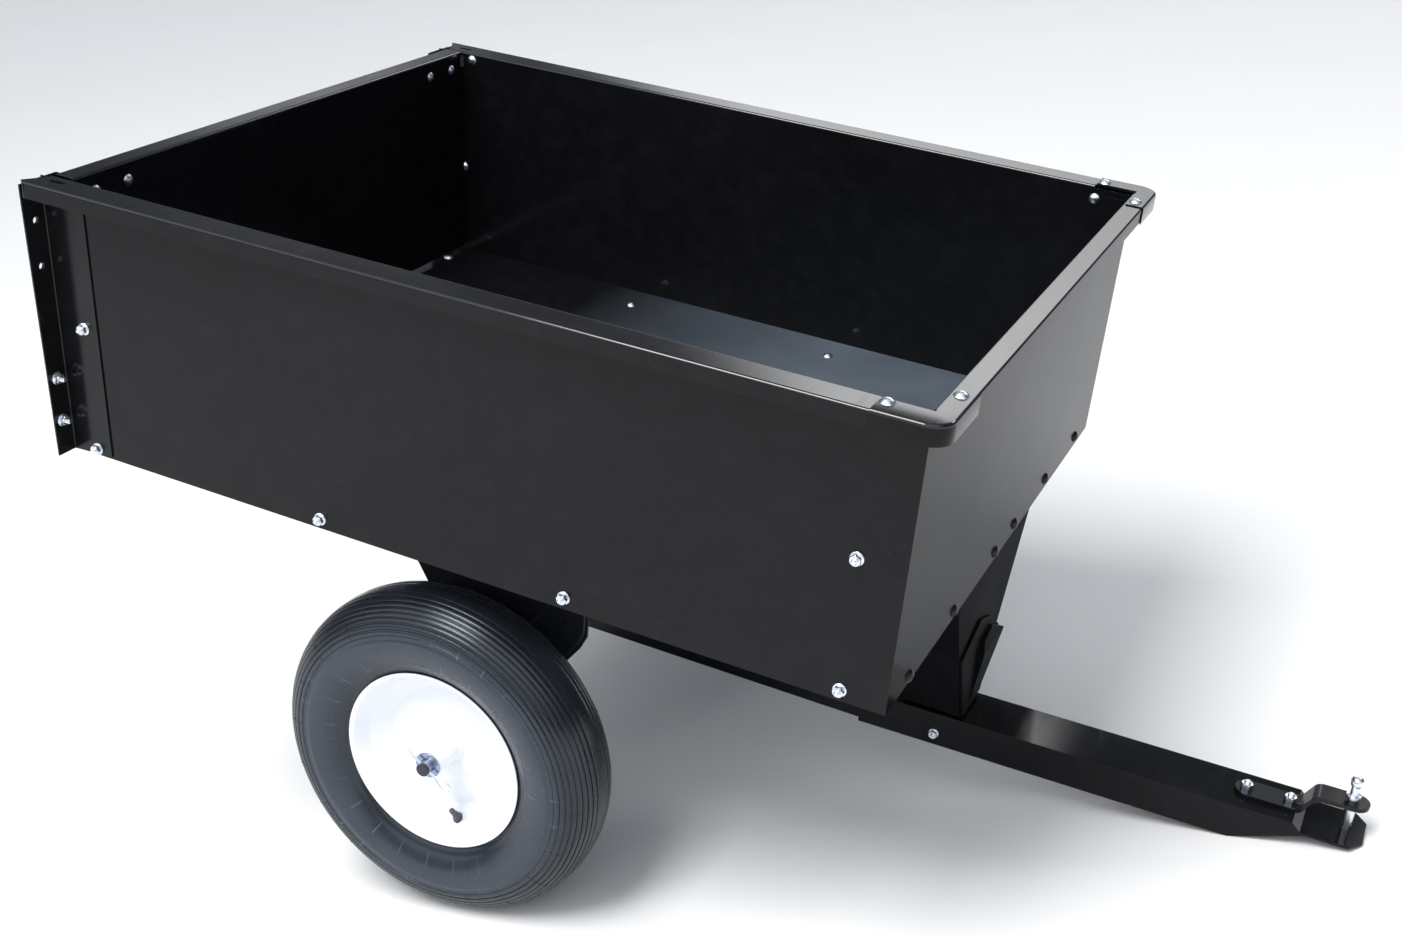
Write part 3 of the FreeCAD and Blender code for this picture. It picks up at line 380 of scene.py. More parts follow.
def rim_paint(ob, tops):
    """Painted highlight: a lit copy of the paint, glossier and more reflective, on the rim's top face and on its outer
    fold.
    """
    up = (LEVEL.to_3x3() @ Vector((0.0, 0.0, 1.0))).normalized()
    high = max((ob.matrix_world @ v.co).dot(up) for v in ob.data.vertices)
    for mat in tops:
        ob.data.materials.append(mat)
    for poly in ob.data.polygons:
        lean = (ob.matrix_world.to_3x3() @ poly.normal).normalized().dot(up)
        if lean > 0.10 and (ob.matrix_world @ poly.center).dot(up) > high - 0.006:
            poly.material_index = 1 if lean > 0.985 else 2


def lathe(profile, segments, axis_origin, matrix, closed=False, phase=0.0):
    """Revolves (y, r) points about the wheel's axle line, in the wheel's own frame."""
    bm = bmesh.new()
    rings = []
    for k in range(segments):
        a = phase + 2 * math.pi * k / segments
        ring = [bm.verts.new((r * math.sin(a), y, r * math.cos(a))) for y, r in profile]
        rings.append(ring)
    n = len(profile)
    for k in range(segments):
        A, B = rings[k], rings[(k + 1) % segments]
        for i in range(n if closed else n - 1):
            j = (i + 1) % n
            bm.faces.new((A[i], B[i], B[j], A[j]))
    bmesh.ops.recalc_face_normals(bm, faces=bm.faces)
    bm.transform(matrix)
    return bm


def rounded(points, radii, steps=6, closed=True):
    """A 2-D outline with its corners rounded by the given radii."""
    out = []
    n = len(points)
    for i in range(n):
        r = radii[i] if isinstance(radii, (list, tuple)) else radii
        p = Vector(points[i])
        if (not closed and i in (0, n - 1)) or r <= 0:
            out.append((p.x, p.y))
            continue
        a = Vector(points[(i - 1) % n]) - p
        b = Vector(points[(i + 1) % n]) - p
        la, lb = a.length, b.length
        a.normalize(); b.normalize()
        ang = a.angle(b)
        if ang > math.pi - 1e-3:
            out.append((p.x, p.y))
            continue
        d = min(r / math.tan(ang / 2), la * 0.49, lb * 0.49)
        rr = d * math.tan(ang / 2)
        c = p + (a + b).normalized() * (rr / math.sin(ang / 2))
        s = p + a * d - c
        e = p + b * d - c
        total = math.atan2(s.x * e.y - s.y * e.x, s.dot(e))
        for k in range(steps + 1):
            t = total * k / steps
            out.append((c.x + s.x * math.cos(t) - s.y * math.sin(t), c.y + s.x * math.sin(t) + s.y * math.cos(t)))
    return out


def solid_of(outline, z0, z1, bevel=0.0, segments=2):
    """A plate from a 2-D outline between two heights, as a bmesh in millimetres."""
    bm = bmesh.new()
    bottom = [bm.verts.new((x, y, z0)) for x, y in outline]
    top = [bm.verts.new((x, y, z1)) for x, y in outline]
    n = len(outline)
    bm.faces.new(bottom[::-1])
    bm.faces.new(top)
    for i in range(n):
        j = (i + 1) % n
        bm.faces.new((bottom[i], bottom[j], top[j], top[i]))
    bmesh.ops.recalc_face_normals(bm, faces=bm.faces)
    if bevel > 0:
        es = [e for e in bm.edges if e.calc_face_angle(0) > math.radians(50)]
        bmesh.ops.bevel(bm, geom=es, offset=bevel, segments=segments, profile=0.5, affect="EDGES", clamp_overlap=True)
    return bm


def add_to(bm, other):
    """Moves another bmesh's geometry into bm."""
    me = bpy.data.meshes.new("tmp")
    other.to_mesh(me)
    other.free()
    bm.from_mesh(me)
    bpy.data.meshes.remove(me)


def aimed(origin, normal, spin=0.0):
    """A matrix that stands local +Z along the normal at the origin."""
    q = Vector((0, 0, 1)).rotation_difference(Vector(normal).normalized())
    return Matrix.Translation(Vector(origin)) @ q.to_matrix().to_4x4() @ Matrix.Rotation(spin, 4, "Z")


def turned(profile, segments=32):
    """Revolves (r, z) points about +Z; the first and last points may lie on the axis."""
    bm = bmesh.new()
    rings = []
    for r, z in profile:
        if r < 1e-6:
            rings.append([bm.verts.new((0, 0, z))])
        else:
            rings.append([bm.verts.new((r * math.cos(2 * math.pi * k / segments), r * math.sin(2 * math.pi * k / segments), z))
                          for k in range(segments)])
    for A, B in zip(rings, rings[1:]):
        for k in range(segments):
            j = (k + 1) % segments
            if len(A) == 1 and len(B) == 1:
                continue
            if len(A) == 1:
                bm.faces.new((A[0], B[k], B[j]))
            elif len(B) == 1:
                bm.faces.new((A[k], A[j], B[0]))
            else:
                bm.faces.new((A[k], A[j], B[j], B[k]))
    bmesh.ops.recalc_face_normals(bm, faces=bm.faces)
    return bm


def dome_head(bm, origin, normal, r=7.4, h=3.9):
    """A carriage bolt's low dome with a thin rim."""
    R = (r * r + h * h) / (2 * h)
    prof = [(0.0, h)]
    for k in range(1, 9):
        a = math.asin(r / R) * k / 8
        prof.append((R * math.sin(a), h - R * (1 - math.cos(a))))
    prof += [(r + 0.05, -0.25), (r - 0.4, -0.5), (0.0, -0.5)]
    add = turned(prof, 28)
    add.transform(aimed(origin, normal))
    add_to(bm, add)


def hex_nut(bm, origin, normal, spin=0.0, af=11.0, h=5.4, bolt=3.0, proud=4.2, washer=7.6, flange=True):
    """A hex nut with chamfered corners on a flange or washer, and the bolt's end through it."""
    m = aimed(origin, normal, spin)
    if flange:
        w = turned([(bolt, 0.0), (washer, 0.0), (washer, 0.9), (washer - 0.5, 1.35), (bolt, 1.5)], 32)
        w.transform(m)
        add_to(bm, w)
    base = 1.2 if flange else 0.0
    R = af / math.sqrt(3)
    sides = 48
    def hexr(a):
        a = (a + math.pi / 6) % (math.pi / 3) - math.pi / 6
        return (af / 2) / math.cos(a)
    b = bmesh.new()
    rows = []
    for z, lim in ((base, R * 1.02), (base + h - 1.1, R * 1.02), (base + h - 0.45, R * 0.955), (base + h, R * 0.88)):
        rows.append([b.verts.new((min(hexr(2 * math.pi * k / sides), lim) * math.cos(2 * math.pi * k / sides),
                                  min(hexr(2 * math.pi * k / sides), lim) * math.sin(2 * math.pi * k / sides), z))
                     for k in range(sides)])
    rows.append([b.verts.new((bolt * math.cos(2 * math.pi * k / sides), bolt * math.sin(2 * math.pi * k / sides), base + h - 0.2))
                 for k in range(sides)])
    for A, B in zip(rows, rows[1:]):
        for k in range(sides):
            j = (k + 1) % sides
            b.faces.new((A[k], A[j], B[j], B[k]))
    b.faces.new(rows[0][::-1])
    bmesh.ops.recalc_face_normals(b, faces=b.faces)
    b.transform(m)
    add_to(bm, b)
    # threaded end
    prof = [(0.0, base + h + proud)]
    prof.append((bolt - 0.9, base + h + proud))
    z = base + h + proud - 0.8
    prof.append((bolt - 0.1, z))
    while z > base + h - 0.6:
        prof.append((bolt, z - 0.25)); prof.append((bolt - 0.38, z - 0.6)); prof.append((bolt, z - 0.95))
        z -= 1.0
    e = turned(prof, 24)
    e.transform(m)
    add_to(bm, e)


def hex_head(bm, origin, normal, spin=0.0, af=13.0, h=5.2, washer=8.2):
    """A hex bolt head on a washer."""
    m = aimed(origin, normal, spin)
    w = turned([(0.0, 0.0), (washer, 0.0), (washer, 1.1), (washer - 0.4, 1.4), (0.0, 1.4)], 32)
    w.transform(m)
    add_to(bm, w)
    sides = 48
    R = af / math.sqrt(3)
    def hexr(a):
        a = (a + math.pi / 6) % (math.pi / 3) - math.pi / 6
        return (af / 2) / math.cos(a)
    b = bmesh.new()
    rows = []
    for z, lim in ((1.2, R * 1.02), (1.2 + h - 1.0, R * 1.02), (1.2 + h - 0.4, R * 0.95), (1.2 + h, R * 0.87)):
        rows.append([b.verts.new((min(hexr(2 * math.pi * k / sides), lim) * math.cos(2 * math.pi * k / sides),
                                  min(hexr(2 * math.pi * k / sides), lim) * math.sin(2 * math.pi * k / sides), z))
                     for k in range(sides)])
    top = b.verts.new((0, 0, 1.2 + h))
    for A, B in zip(rows, rows[1:]):
        for k in range(sides):
            j = (k + 1) % sides
            b.faces.new((A[k], A[j], B[j], B[k]))
    for k in range(sides):
        b.faces.new((rows[-1][k], rows[-1][(k + 1) % sides], top))
    b.faces.new(rows[0][::-1])
    bmesh.ops.recalc_face_normals(b, faces=b.faces)
    b.transform(m)
    add_to(bm, b)


def wire(bm, points, radius, sides=10):
    """A round wire through points, in millimetres."""
    pts = [Vector(p) for p in points]
    rings = []
    up = None
    for i, p in enumerate(pts):
        t = (pts[min(i + 1, len(pts) - 1)] - pts[max(i - 1, 0)]).normalized()
        if up is None:
            up = t.orthogonal().normalized()
        up = (up - t * up.dot(t)).normalized()
        side = t.cross(up)
        rings.append([bm.verts.new(p + (up * math.cos(2 * math.pi * k / sides) + side * math.sin(2 * math.pi * k / sides)) * radius)
                      for k in range(sides)])
    for A, B in zip(rings, rings[1:]):
        for k in range(sides):
            j = (k + 1) % sides
            bm.faces.new((A[k], A[j], B[j], B[k]))
    bm.faces.new(rings[0][::-1])
    bm.faces.new(rings[-1])


# ---------------------------------------------------------------- painted steel pieces
def rim_ends(sgn):
    """The rim's rear outer corner is rounded, and the wall stands just below the cap at the front."""
    def work(bm):
        for v in bm.verts:
            x, y, z = v.co
            if 455 < x < 520 and 405 < abs(y) < 410 and abs(z + 9.0) < 0.6:
                v.co.z = -3.4
        big = 12.0
        middle = Vector((-549.0 + big, sgn * (444.0 - big), 0.0))
        for deg in (10, 26, 42, 58, 74, 86):
            n = Vector((-math.cos(math.radians(deg)), sgn * math.sin(math.radians(deg)), 0.0))
            cut = bmesh.ops.bisect_plane(bm, geom=bm.verts[:] + bm.edges[:] + bm.faces[:], dist=1e-4,
                                         plane_co=middle + n * big, plane_no=n, clear_outer=True)
            edges = [g for g in cut["geom_cut"] if isinstance(g, bmesh.types.BMEdge)]
            if edges:
                bmesh.ops.holes_fill(bm, edges=edges, sides=0)
    return work


for node, sgn in (("side_panel_right", -1), ("side_panel_left", 1)):
    refined(node, "bed", PAINT, tops=(PAINT_RIM, PAINT_FOLD), shape=rim_ends(sgn))


def corner_cap(side, sgn):
    """A pressed cap: an L-shaped plate over the two rims with a well-rounded fold and a lip."""
    x_in, x_out, y_in, y_out = 459.0, 535.5, 348.0, 445.5
    fold, lip, sheet, big = 3.6, 21.0, 1.5, 25.5
    prof = []                                             # (distance in from the outline, height)
    for k in range(7):
        a = math.pi / 2 * k / 6
        prof.append((fold - fold * math.sin(a), sheet - fold + fold * math.cos(a)))
    prof += [(0.0, -lip + 0.5), (0.15, -lip + 0.12), (0.5, -lip), (1.0, -lip), (1.35, -lip + 0.12), (sheet, -lip + 0.5)]
    for k in range(5):
        a = math.pi / 2 * (1 - k / 4)
        r = fold - sheet
        prof.append((fold - r * math.sin(a), sheet - fold + r * math.cos(a)))

    def ring(d, z):
        c = (x_out - big, y_out - big)
        r = big - d
        pts = [(x_in, y_out - d), (x_in + 12, y_out - d)]
        pts += [(c[0] + r * math.sin(math.pi / 2 * k / 16), c[1] + r * math.cos(math.pi / 2 * k / 16)) for k in range(17)]
        pts += [(x_out - d, y_in + 12), (x_out - d, y_in)]
        return [bm.verts.new((x, sgn * y, z)) for x, y in pts]

    bm = bmesh.new()
    rings = [ring(d, z) for d, z in prof]
    for A, B in zip(rings, rings[1:]):
        for k in range(len(A) - 1):
            bm.faces.new((A[k], A[k + 1], B[k + 1], B[k]))
    inner = [(512.0, y_in), (512.0, 413.5), (x_in, 413.5)]
    top = [bm.verts.new((x, sgn * y, sheet)) for x, y in inner]
    low = [bm.verts.new((x, sgn * y, 0.0)) for x, y in inner]
    bm.faces.new(rings[0] + top)
    bm.faces.new(rings[-1] + low)
    for k in (0, 1):
        bm.faces.new((top[k], top[k + 1], low[k + 1], low[k]))
    bm.faces.new([r[0] for r in rings] + [low[2], top[2]])
    bm.faces.new([r[-1] for r in rings] + [low[0], top[0]])
    ob = from_bmesh("corner_cap_" + side + "_pressed", bm, PAINT_CAP_LIP, LEVEL, smooth=40.0, weighted=False)
    rim_paint(ob, (PAINT_CAP, PAINT_FOLD))
    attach(ob, "bed")
    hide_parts("corner_cap_" + side)


corner_cap("right", -1)
corner_cap("left", 1)
refined("front_panel", "bed", PAINT_FRONT, tops=(PAINT_RIM, PAINT_RIM))
refined("floor_pan", "bed", PAINT_FLOOR)
for node in ("rear_post_right", "rear_post_left", "tailgate_track_right", "tailgate_track_left"):
    refined(node, "bed", PAINT_FRAME, width=0.0005)
for node in ("axle_leg_right", "axle_leg_left"):
    refined(node, "bed", PAINT_LEG_LIT, width=0.0007)
for node in ("latch_upright", "latch_lever"):
    refined(node, "bed", PAINT_MATTE, width=0.0005)
for node in ("tailgate_panel",):
    refined(node, "tailgate", PAINT, tops=(PAINT_RIM, PAINT_FOLD))
for node in ("tailgate_hanger_right", "tailgate_hanger_left"):
    refined(node, "tailgate", PAINT_FRAME, width=0.0006)
for node in ("tongue_rear", "tongue_front"):
    refined(node, "tongue", PAINT_TONGUE, width=0.0016, segments=4)
refined("hitch_strap", "tongue", PAINT_FRAME, width=0.0009, segments=3, bends=0.006)
refined("hitch_pin", "hitch_pin", ZINC, width=0.0)
for node in ("axle", "axle_washer_right", "axle_washer_left"):
    refined(node, "tongue", AXLE_STEEL if node == "axle" else ZINC_BLUE, width=0.0006)
for node in ("axle_spacer_right", "axle_spacer_left"):
    refined(node, "tongue", ZINC_DULL, width=0.0005)

# stiffening folds pressed into the outer face of each leg
for side, sgn in (("right", -1), ("left", 1)):
    bm = bmesh.new()
    y = sgn * 322.1
    wire(bm, [(104, y, -362), (95, y, -374), (82, y, -393), (55, y, -432), (34, y, -463), (20, y, -490)], 1.7, 12)
    wire(bm, [(125, y, -350), (125, y, -419), (117, y, -437), (92, y, -470), (62, y, -500), (30, y, -532)], 1.9, 12)
    ob = from_bmesh("leg_folds_" + side, bm, PAINT_LEG_LIT, LEVEL, smooth=60.0, weighted=False)
    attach(ob, "bed")

# ---------------------------------------------------------------- wheels
TYRE_R, TYRE_W = 206.0, 51.0


def tyre_profile():
    """(y, r) outline of the tyre's outside, from one bead to the other."""
    # round sidewall from the bead to the shoulder
    half = [(33.9, 116.2), (34.6, 117.6), (35.6, 118.6), (36.4, 119.6), (37.6, 121.9), (38.9, 124.6), (39.3, 125.2), (40.1, 126.2),
            (42.4, 130.3), (44.9, 135.4), (47.2, 141.2), (49.1, 148.0), (50.2, 154.6), (50.5, 159.0), (50.3, 163.0)]

    def carcass(t):
        # t: 0 at the shoulder (y 50, r 164) to 1 at the crown's middle
        a = t * math.pi / 2
        return 50.0 * math.cos(a) ** 0.86 if t < 1 else 0.0, 163.5 + 42.2 * math.sin(a) ** 0.92

    # crowned ribs parted by narrow grooves, measured along the carcass curve
    grooves = [0.075, 0.175, 0.275, 0.375, 0.475, 0.575, 0.675, 0.775, 0.875]
    marks = [(0.0, 0.0), (0.03, 0.0), (0.055, 0.0)]
    for k, g in enumerate(grooves):
        deep = 0.8 if g < 0.1 else 1.5
        marks += [(g - 0.0135, 0.0), (g - 0.0095, 0.15), (g - 0.0055, deep), (g, deep + 0.1), (g + 0.0055, deep), (g + 0.0095, 0.15), (g + 0.0135, 0.0)]
        nxt = grooves[k + 1] if k + 1 < len(grooves) else 1.05
        for q in (0.25, 0.5, 0.75):
            t = g + 0.0135 + (nxt - g - 0.027) * q
            if t < 0.985:
                marks.append((t, -0.35 if q == 0.5 else -0.27))
    marks.append((1.0, -0.3))
    for t, depth in marks:
        y, r = carcass(t)
        y2, r2 = carcass(min(1.0, t + 0.002))
        y1, r1 = carcass(max(0.0, t - 0.002))
        ty, tr = y2 - y1, r2 - r1
        L = math.hypot(ty, tr) or 1.0
        ny, nr = tr / L, -ty / L           # outward normal
        half.append((max(y - ny * depth, 0.0) if t < 1 else 0.0, min(r - nr * depth, TYRE_R - 0.15)))
    right_side = [(-y, r) for y, r in reversed(half[:-1])]
    return half + right_side


def tyre_mesh(side, sgn):
    spot = LEVEL @ Matrix.Translation(Vector((AXLE.x, sgn * 391.0, AXLE.z))) @ Matrix.Rotation(0.0 if sgn < 0 else math.pi, 4, "Z")
    prof = tyre_profile()
    inner = [(-32.6, 113.2), (-31.0, 110.5), (-16.0, 102.4), (16.0, 102.4), (31.0, 110.5), (32.6, 113.2)]
    bm = lathe(prof + inner, 240, None, Matrix.Identity(4), closed=True)
    # fine raised mould fins across the shoulder's ribs, in staggered short rows
    rnd = random.Random(7 if sgn < 0 else 11)
    half = len(prof) // 2 + 1
    outer = prof[:half]

    def fin(i0, i1, ang, w=0.42, h=0.34, flip=False):
        """A thin mould line laid over part of the outline."""
        rows = []
        for y, r in outer[i0:i1]:
            y = -y if flip else y
            row = []
            for da, dh in ((-w, -0.25), (-w * 0.5, h), (w * 0.5, h), (w, -0.25)):
                rr = min(r + dh * 0.7, TYRE_R - 0.02)
                a = ang + da / r
                yy = y + (dh if y > 0 else -dh)
                row.append(bm.verts.new((rr * math.sin(a), yy, rr * math.cos(a))))
            rows.append(row)
        for A, B in zip(rows, rows[1:]):
            for q in range(3):
                bm.faces.new((A[q], A[q + 1], B[q + 1], B[q]))
        bm.faces.new(rows[0]); bm.faces.new(rows[-1][::-1])

    # rows of short dashes across the ribs, and a few long faint lines down the sidewall
    ribs = [i for i, (y, r) in enumerate(outer) if r > 168.0]
    for k in range(20):
        a = 2 * math.pi * (k + 0.35) / 20 + rnd.uniform(-0.025, 0.025)
        for flip in (False, True):
            i = ribs[0] + rnd.choice((0, 6, 10))
            stop = ribs[0] + rnd.choice((42, 52, 62))
            while i + 4 < min(stop, half):
                fin(i, i + 4, a + (0.17 if flip else 0.0) + rnd.uniform(-0.004, 0.004), w=0.5, h=0.45, flip=flip)
                i += rnd.choice((6, 7, 10))
        if k % 2 == 0:
            for flip in (False, True):
                fin(5, 13, a + 0.09, w=0.34, h=0.2, flip=flip)
    bm.transform(spot)
    ob = from_bmesh("tyre_" + side + "_tread", bm, RUBBER, smooth=50.0, weighted=False)
    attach(ob, "wheel_" + side)
    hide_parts("tyre_" + side)
    return ob


def rim_mesh(side, sgn):
    spot = LEVEL @ Matrix.Translation(Vector((AXLE.x, sgn * 391.0, AXLE.z))) @ Matrix.Rotation(0.0 if sgn < 0 else math.pi, 4, "Z")
    # outboard is -Y in the wheel's own frame
    pts = [(-35.9, 114.3), (-34.2, 114.4), (-32.0, 110.8), (-15.5, 101.3), (15.5, 101.3), (32.0, 110.8), (34.2, 114.4),
           (35.9, 114.3), (35.9, 112.6), (33.7, 108.6), (16.3, 99.5), (-13.97, 99.5), (4.2, 77.1), (4.2, 40.0), (4.2, 16.2),
           (2.4, 16.2), (2.4, 22.0), (1.4, 26.0), (1.4, 40.0), (2.4, 44.0), (2.4, 76.5), (-15.8, 98.9), (-33.7, 108.6), (-35.9, 112.6)]
    rad = [0.7, 0.7, 2.5, 4.0, 4.0, 2.5, 0.7, 0.7, 0.7, 2.0, 3.0, 1.0, 4.5, 0, 0.3, 0.3, 2.0, 2.0, 2.0, 2.0, 7.0, 6.0, 2.5, 0.7]
    prof = rounded(pts, rad, steps=5)
    bm = lathe(prof, 160, None, Matrix.Identity(4), closed=True)
    bm.transform(spot)
    ob = from_bmesh("rim_" + side + "_pressed", bm, WHITE, smooth=40.0, weighted=False)
    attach(ob, "wheel_" + side)
    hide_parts("rim_" + side)
    # hub tube with its weld and chamfered ends
    pts = [(-40.9, 8.4), (-40.9, 14.2), (-39.6, 15.8), (-3.0, 15.9), (0.6, 19.6), (2.2, 20.6), (4.4, 20.6), (6.4, 19.0), (9.0, 15.9),
           (39.6, 15.8), (40.9, 14.2), (40.9, 8.4)]
    prof = rounded(pts, 0.6, steps=3)
    bm = lathe(prof, 72, None, Matrix.Identity(4), closed=True)
    bm.transform(spot)
    ob = from_bmesh("hub_" + side + "_tube", bm, WHITE, smooth=40.0, weighted=False)
    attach(ob, "wheel_" + side)
    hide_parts("hub_" + side)
    # valve stem: a rubber snap-in stem with a cap
    bm = turned([(0.0, 30.0), (2.6, 30.0), (3.3, 29.2), (3.4, 24.5), (3.0, 24.0), (3.1, 20.5), (3.7, 19.0), (4.3, 12.0), (5.0, 5.0),
                 (6.3, 1.6), (7.3, 0.2), (7.2, -1.2), (5.5, -1.6), (0.0, -1.6)], 28)
    base = Vector((22.3, -8.0, -88.8))
    lean = Vector((0.044, -0.63, 0.775))
    bm.transform(spot @ aimed(base, lean))
    ob = from_bmesh("valve_stem_" + side, bm, VALVE, smooth=40.0, weighted=False)
    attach(ob, "wheel_" + side)


for side, sgn in (("right", -1), ("left", 1)):
    tyre_mesh(side, sgn)
    rim_mesh(side, sgn)
    # split pin through the axle's end
    bm = bmesh.new()
    y = sgn * 439.5
    d = Vector((0.85, 0.0, -0.53)).normalized()
    c = Vector((AXLE.x, y, AXLE.z))
    s = d.cross(Vector((0, 1, 0)))
    pts = []
    for u, v in ((-31, 1.2), (-22, 0.9), (-10, 0.8), (0, 0.8), (10, 0.8), (16, 1.2), (21, 3.6), (27, 6.2), (33, 6.6), (38, 4.4), (40, 0.6),
                 (38, -3.2), (33, -5.4), (27, -5.0), (21, -3.0), (16, -1.2), (10, -0.8), (0, -0.8), (-10, -0.8), (-21, -1.4)):
        pts.append(c + d * u + s * v)
    wire(bm, pts, 1.0, 8)
    ob = from_bmesh("split_pin_" + side, bm, ZINC, LEVEL, smooth=60.0, weighted=False)
    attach(ob, "tongue")

# ---------------------------------------------------------------- bolts
bolts = bmesh.new()
spin = random.Random(3)
for sgn in (-1, 1):
    out = (0, sgn, 0)
    inn = (0, -sgn, 0)
    # side panels: nuts outside, dome heads inside
    for x, z, on_post in ((-499, -176, 1), (-491, -328, 1), (-172, -325, 0), (142, -323, 0), (459, -324, 0), (457, -173, 0)):
        yo = 408.0 + (2.0 if on_post else 0.0)
        hex_nut(bolts, (x, sgn * yo, z), out, spin.uniform(0, 1))
    for x, z, d in ((-499, -176, 0), (457, -173, 1.7), (-491, -10.8, 0), (461, -17.5, 1.7)):
        dome_head(bolts, (x, sgn * (406.5 - d), z), inn)
    # floor: domes
    for x in (-487, -170, 144):
        dome_head(bolts, (x, sgn * 350, -305.0), (0, 0, 1))
        hex_nut(bolts, (x, sgn * 350, -306.5), (0, 0, -1), spin.uniform(0, 1))
    # corner cap carriage bolts
    dome_head(bolts, (468, sgn * 421.5, 1.5), (0, 0, 1), 8.3, 4.6)
    dome_head(bolts, (521, sgn * 365, 1.5), (0, 0, 1), 8.3, 4.6)
raked_n = Vector((math.cos(RAKE), 0, math.sin(RAKE)))
for sgn in (-1, 1):
    for zz in (-242, -295):
        p = RAKED @ Vector((2.0, sgn * 425.0, zz))
        hex_nut(bolts, p, raked_n, spin.uniform(0, 1), af=10.5, proud=6.0)
        p = RAKED @ Vector((-2.0, sgn * 425.0, zz))
        dome_head(bolts, p, -raked_n)
ob = from_bmesh("bed_bolts", bolts, ZINC, LEVEL, smooth=32.0, weighted=False)
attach(ob, "bed")

bolts = bmesh.new()
for y, z in ((336, -322), (186, -322), (46, -324), (-34, -325), (-190, -326), (-338, -328)):
    dome_head(bolts, (509.5, y, z), (1, 0, 0), 8.0, 4.6)
ob = from_bmesh("front_row_bolts", bolts, PAINT_FRAME, LEVEL, smooth=32.0, weighted=False)
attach(ob, "bed")

bolts = bmesh.new()
for y in (-315, -368, 320, 376):
    z = -23.0
    x = -508 + 21 / 337 * -z
    dome_head(bolts, (x, y, z), raked_n)
    hex_nut(bolts, (x - 4.8, y, z), -raked_n, spin.uniform(0, 1))
ob = from_bmesh("tailgate_bolts", bolts, ZINC_DULL, LEVEL, smooth=32.0, weighted=False)
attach(ob, "tailgate")

bolts = bmesh.new()
hex_nut(bolts, TONGUE @ Vector((-24, -36.7, -28.5)), (0, -1, 0), 0.3, af=9.6, h=4.6, bolt=2.7, washer=6.4, proud=2.6)
hex_head(bolts, TONGUE @ Vector((-24, 36.7, -28.5)), (0, 1, 0), 0.1)
for x in (347, 397):
    up = TONGUE.to_3x3() @ Vector((0, 0, 1))
    hex_nut(bolts, TONGUE @ Vector((x, 0, 5.0)), up, 0.4, af=12.7, h=6.2, bolt=3.9, proud=3.2, washer=0, flange=False)
    dome_head(bolts, TONGUE @ Vector((x, 0, -3.0)), -up)
ob = from_bmesh("tongue_bolts", bolts, ZINC, LEVEL, smooth=32.0, weighted=False)
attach(ob, "tongue")

# ---------------------------------------------------------------- floor, light and air
floor_bm = bmesh.new()
bmesh.ops.create_grid(floor_bm, x_segments=8, y_segments=8, size=60.0)
floor_me = bpy.data.meshes.new("studio_floor")
floor_bm.to_mesh(floor_me)
floor_bm.free()
floor = bpy.data.objects.new("studio_floor", floor_me)
bpy.context.scene.collection.objects.link(floor)
fm = Mat("pale_floor")
fm.color(fm.mix(fm.ramp(fm.noise(1.2, 3.0), 0.3, 0.7), (0.93, 0.93, 0.93), (0.915, 0.915, 0.915)))
fm.rough(fm.ramp(fm.noise(6.0, 3.0), 0.3, 0.7, 0.8, 0.9))
fm.set(Specular_IOR_Level=0.1)
floor_me.materials.append(fm.m)

# a dim room with a wide soft ceiling light and one large window-like panel on the far side
world = bpy.data.worlds.new("soft_studio")
bpy.context.scene.world = world
world.use_nodes = True
wt = world.node_tree
bg = wt.nodes["Background"]


def wnode(kind, **props):
    n = wt.nodes.new(kind)
    for k, v in props.items():
        setattr(n, k, v)
    return n


def wmath(op, a, b=0.0, clamp=False):
    n = wnode("ShaderNodeMath", operation=op, use_clamp=clamp)
    for i, v in enumerate((a, b)):
        if isinstance(v, (int, float)):
            n.inputs[i].default_value = v
        else:
            wt.links.new(v, n.inputs[i])
    return n.outputs[0]


def wstep(v, a, b, lo=0.0, hi=1.0):
    n = wnode("ShaderNodeMapRange", interpolation_type="SMOOTHSTEP")
    n.clamp = True
    for key, val in (("From Min", a), ("From Max", b), ("To Min", lo), ("To Max", hi)):
        n.inputs[key].default_value = val
    wt.links.new(v, n.inputs["Value"])
    return n.outputs["Result"]


sep = wnode("ShaderNodeSeparateXYZ")
wt.links.new(wnode("ShaderNodeTexCoord").outputs["Generated"], sep.inputs[0])
dx, dy, dz = sep.outputs
side_ratio = wmath("DIVIDE", dx, wmath("MAXIMUM", dy, 0.05))
ceiling = wstep(dz, 0.70, 0.90)
edge = wmath("ADD", side_ratio, wmath("MULTIPLY", wmath("SUBTRACT", 0.454, dz), 1.14))
window = wmath("MULTIPLY", wstep(edge, -0.325, -0.20), wstep(side_ratio, 0.00, 0.12, 1.0, 0.0))
window = wmath("MULTIPLY", window, wstep(dz, 0.06, 0.22))
window = wmath("MULTIPLY", window, wstep(dz, 0.492, 0.520, 1.0, 0.0))
window = wmath("MULTIPLY", window, wstep(dz, 0.27, 0.50, 1.3, 5.2))
window = wmath("MULTIPLY", window, wstep(dy, 0.0, 0.2))
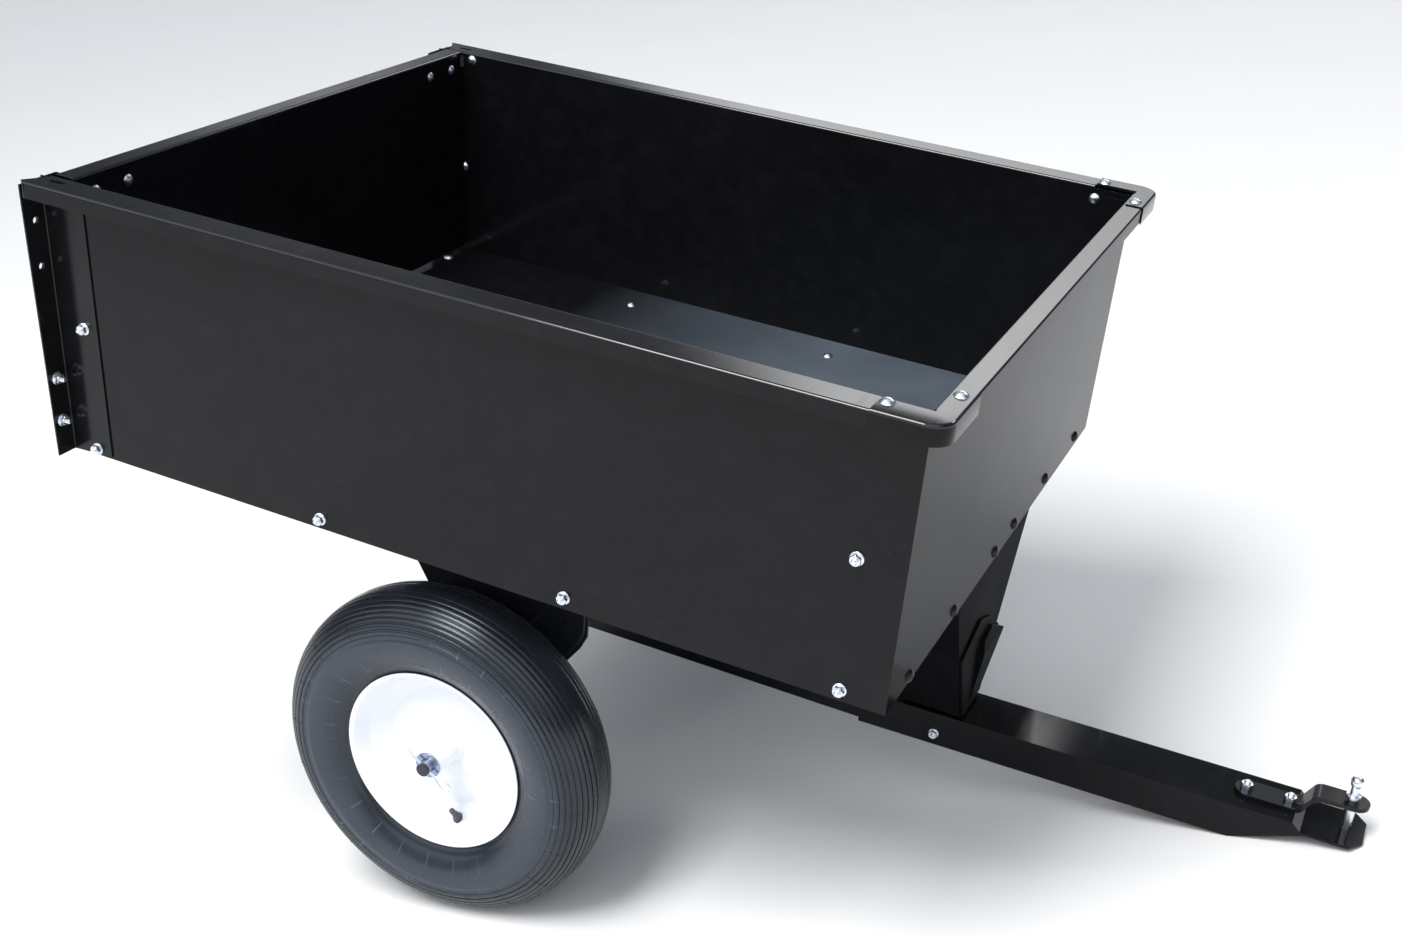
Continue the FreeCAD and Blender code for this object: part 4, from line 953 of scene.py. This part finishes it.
# a fainter pane further left, and a small lamp seen only along the tongue
pane = wmath("MULTIPLY", wstep(side_ratio, -0.86, -0.64), wstep(side_ratio, -0.56, -0.50, 1.0, 0.0))
pane = wmath("MULTIPLY", pane, wmath("MULTIPLY", wstep(dz, 0.345, 0.365), wstep(dz, 0.405, 0.440, 1.0, 0.0)))
strip = wmath("MULTIPLY", wmath("MULTIPLY", wstep(side_ratio, 0.16, 0.22), wstep(side_ratio, 0.52, 0.62, 1.0, 0.0)),
              wmath("MULTIPLY", wmath("MULTIPLY", wstep(dz, 0.43, 0.46), wstep(dz, 0.55, 0.59, 1.0, 0.0)), wstep(dy, 0.0, 0.2)))
lamp = wmath("MULTIPLY", wstep(wmath("ABSOLUTE", wmath("ADD", side_ratio, 0.041)), 0.010, 0.020, 1.0, 0.0),
             wstep(wmath("ABSOLUTE", wmath("SUBTRACT", dz, 0.562)), 0.012, 0.022, 1.0, 0.0))
lamp = wmath("MULTIPLY", lamp, wstep(dy, 0.0, 0.2))
window = wmath("ADD", window, wmath("MULTIPLY", wmath("MULTIPLY", pane, wstep(dy, 0.0, 0.2)), 0.95))
window = wmath("ADD", window, wmath("ADD", wmath("MULTIPLY", lamp, 5.2), wmath("MULTIPLY", strip, 7.0)))
front = wmath("MULTIPLY", wstep(dy, -0.40, -0.08, 1.0, 0.0), wmath("MULTIPLY", wstep(dz, 0.16, 0.34), wstep(dz, 0.74, 0.88, 1.0, 0.0)))
level = wmath("ADD", wmath("MULTIPLY", ceiling, 0.60), wmath("ADD", window, 0.15))
level = wmath("ADD", level, wmath("MULTIPLY", front, 1.25))
tint = wnode("ShaderNodeMix", data_type="RGBA")
bright = wmath("ADD", wmath("ADD", ceiling, window), front)
wt.links.new(wmath("MINIMUM", wmath("MULTIPLY", bright, 0.8), 1.0), tint.inputs["Factor"])
cols = [s for s in tint.inputs if s.type == "RGBA"]
cols[0].default_value = (0.88, 0.97, 1.12, 1.0)
cols[1].default_value = (0.99, 1.0, 1.01, 1.0)
wt.links.new([s for s in tint.outputs if s.type == "RGBA"][0], bg.inputs["Color"])
wt.links.new(level, bg.inputs["Strength"])

# a small bright soft box above and behind the camera's left shoulder
key_data = bpy.data.lights.new("key_light", "AREA")
key_data.shape = "RECTANGLE"
key_data.size = 3.0
key_data.size_y = 4.4
key_data.energy = 13.6 * math.pi * key_data.size * key_data.size_y
key_data.color = (1.0, 0.995, 0.98)
key = bpy.data.objects.new("key_light", key_data)
bpy.context.scene.collection.objects.link(key)
key_dir = Vector((-0.09, -0.42, 0.90)).normalized()
key.location = Vector((0.2, -0.42, 0.7)) + key_dir * 8.0
key.rotation_mode = "QUATERNION"
along = Vector((0.0, 1.0, 0.0))
along = (along - key_dir * along.dot(key_dir)).normalized()
key.rotation_quaternion = Matrix((along.cross(key_dir), along, key_dir)).transposed().to_quaternion()

bpy.context.scene.view_settings.view_transform = "Standard"
bpy.context.scene.view_settings.look = "None"
bpy.context.scene.view_settings.exposure = 0.0

bpy.context.view_layer.update()
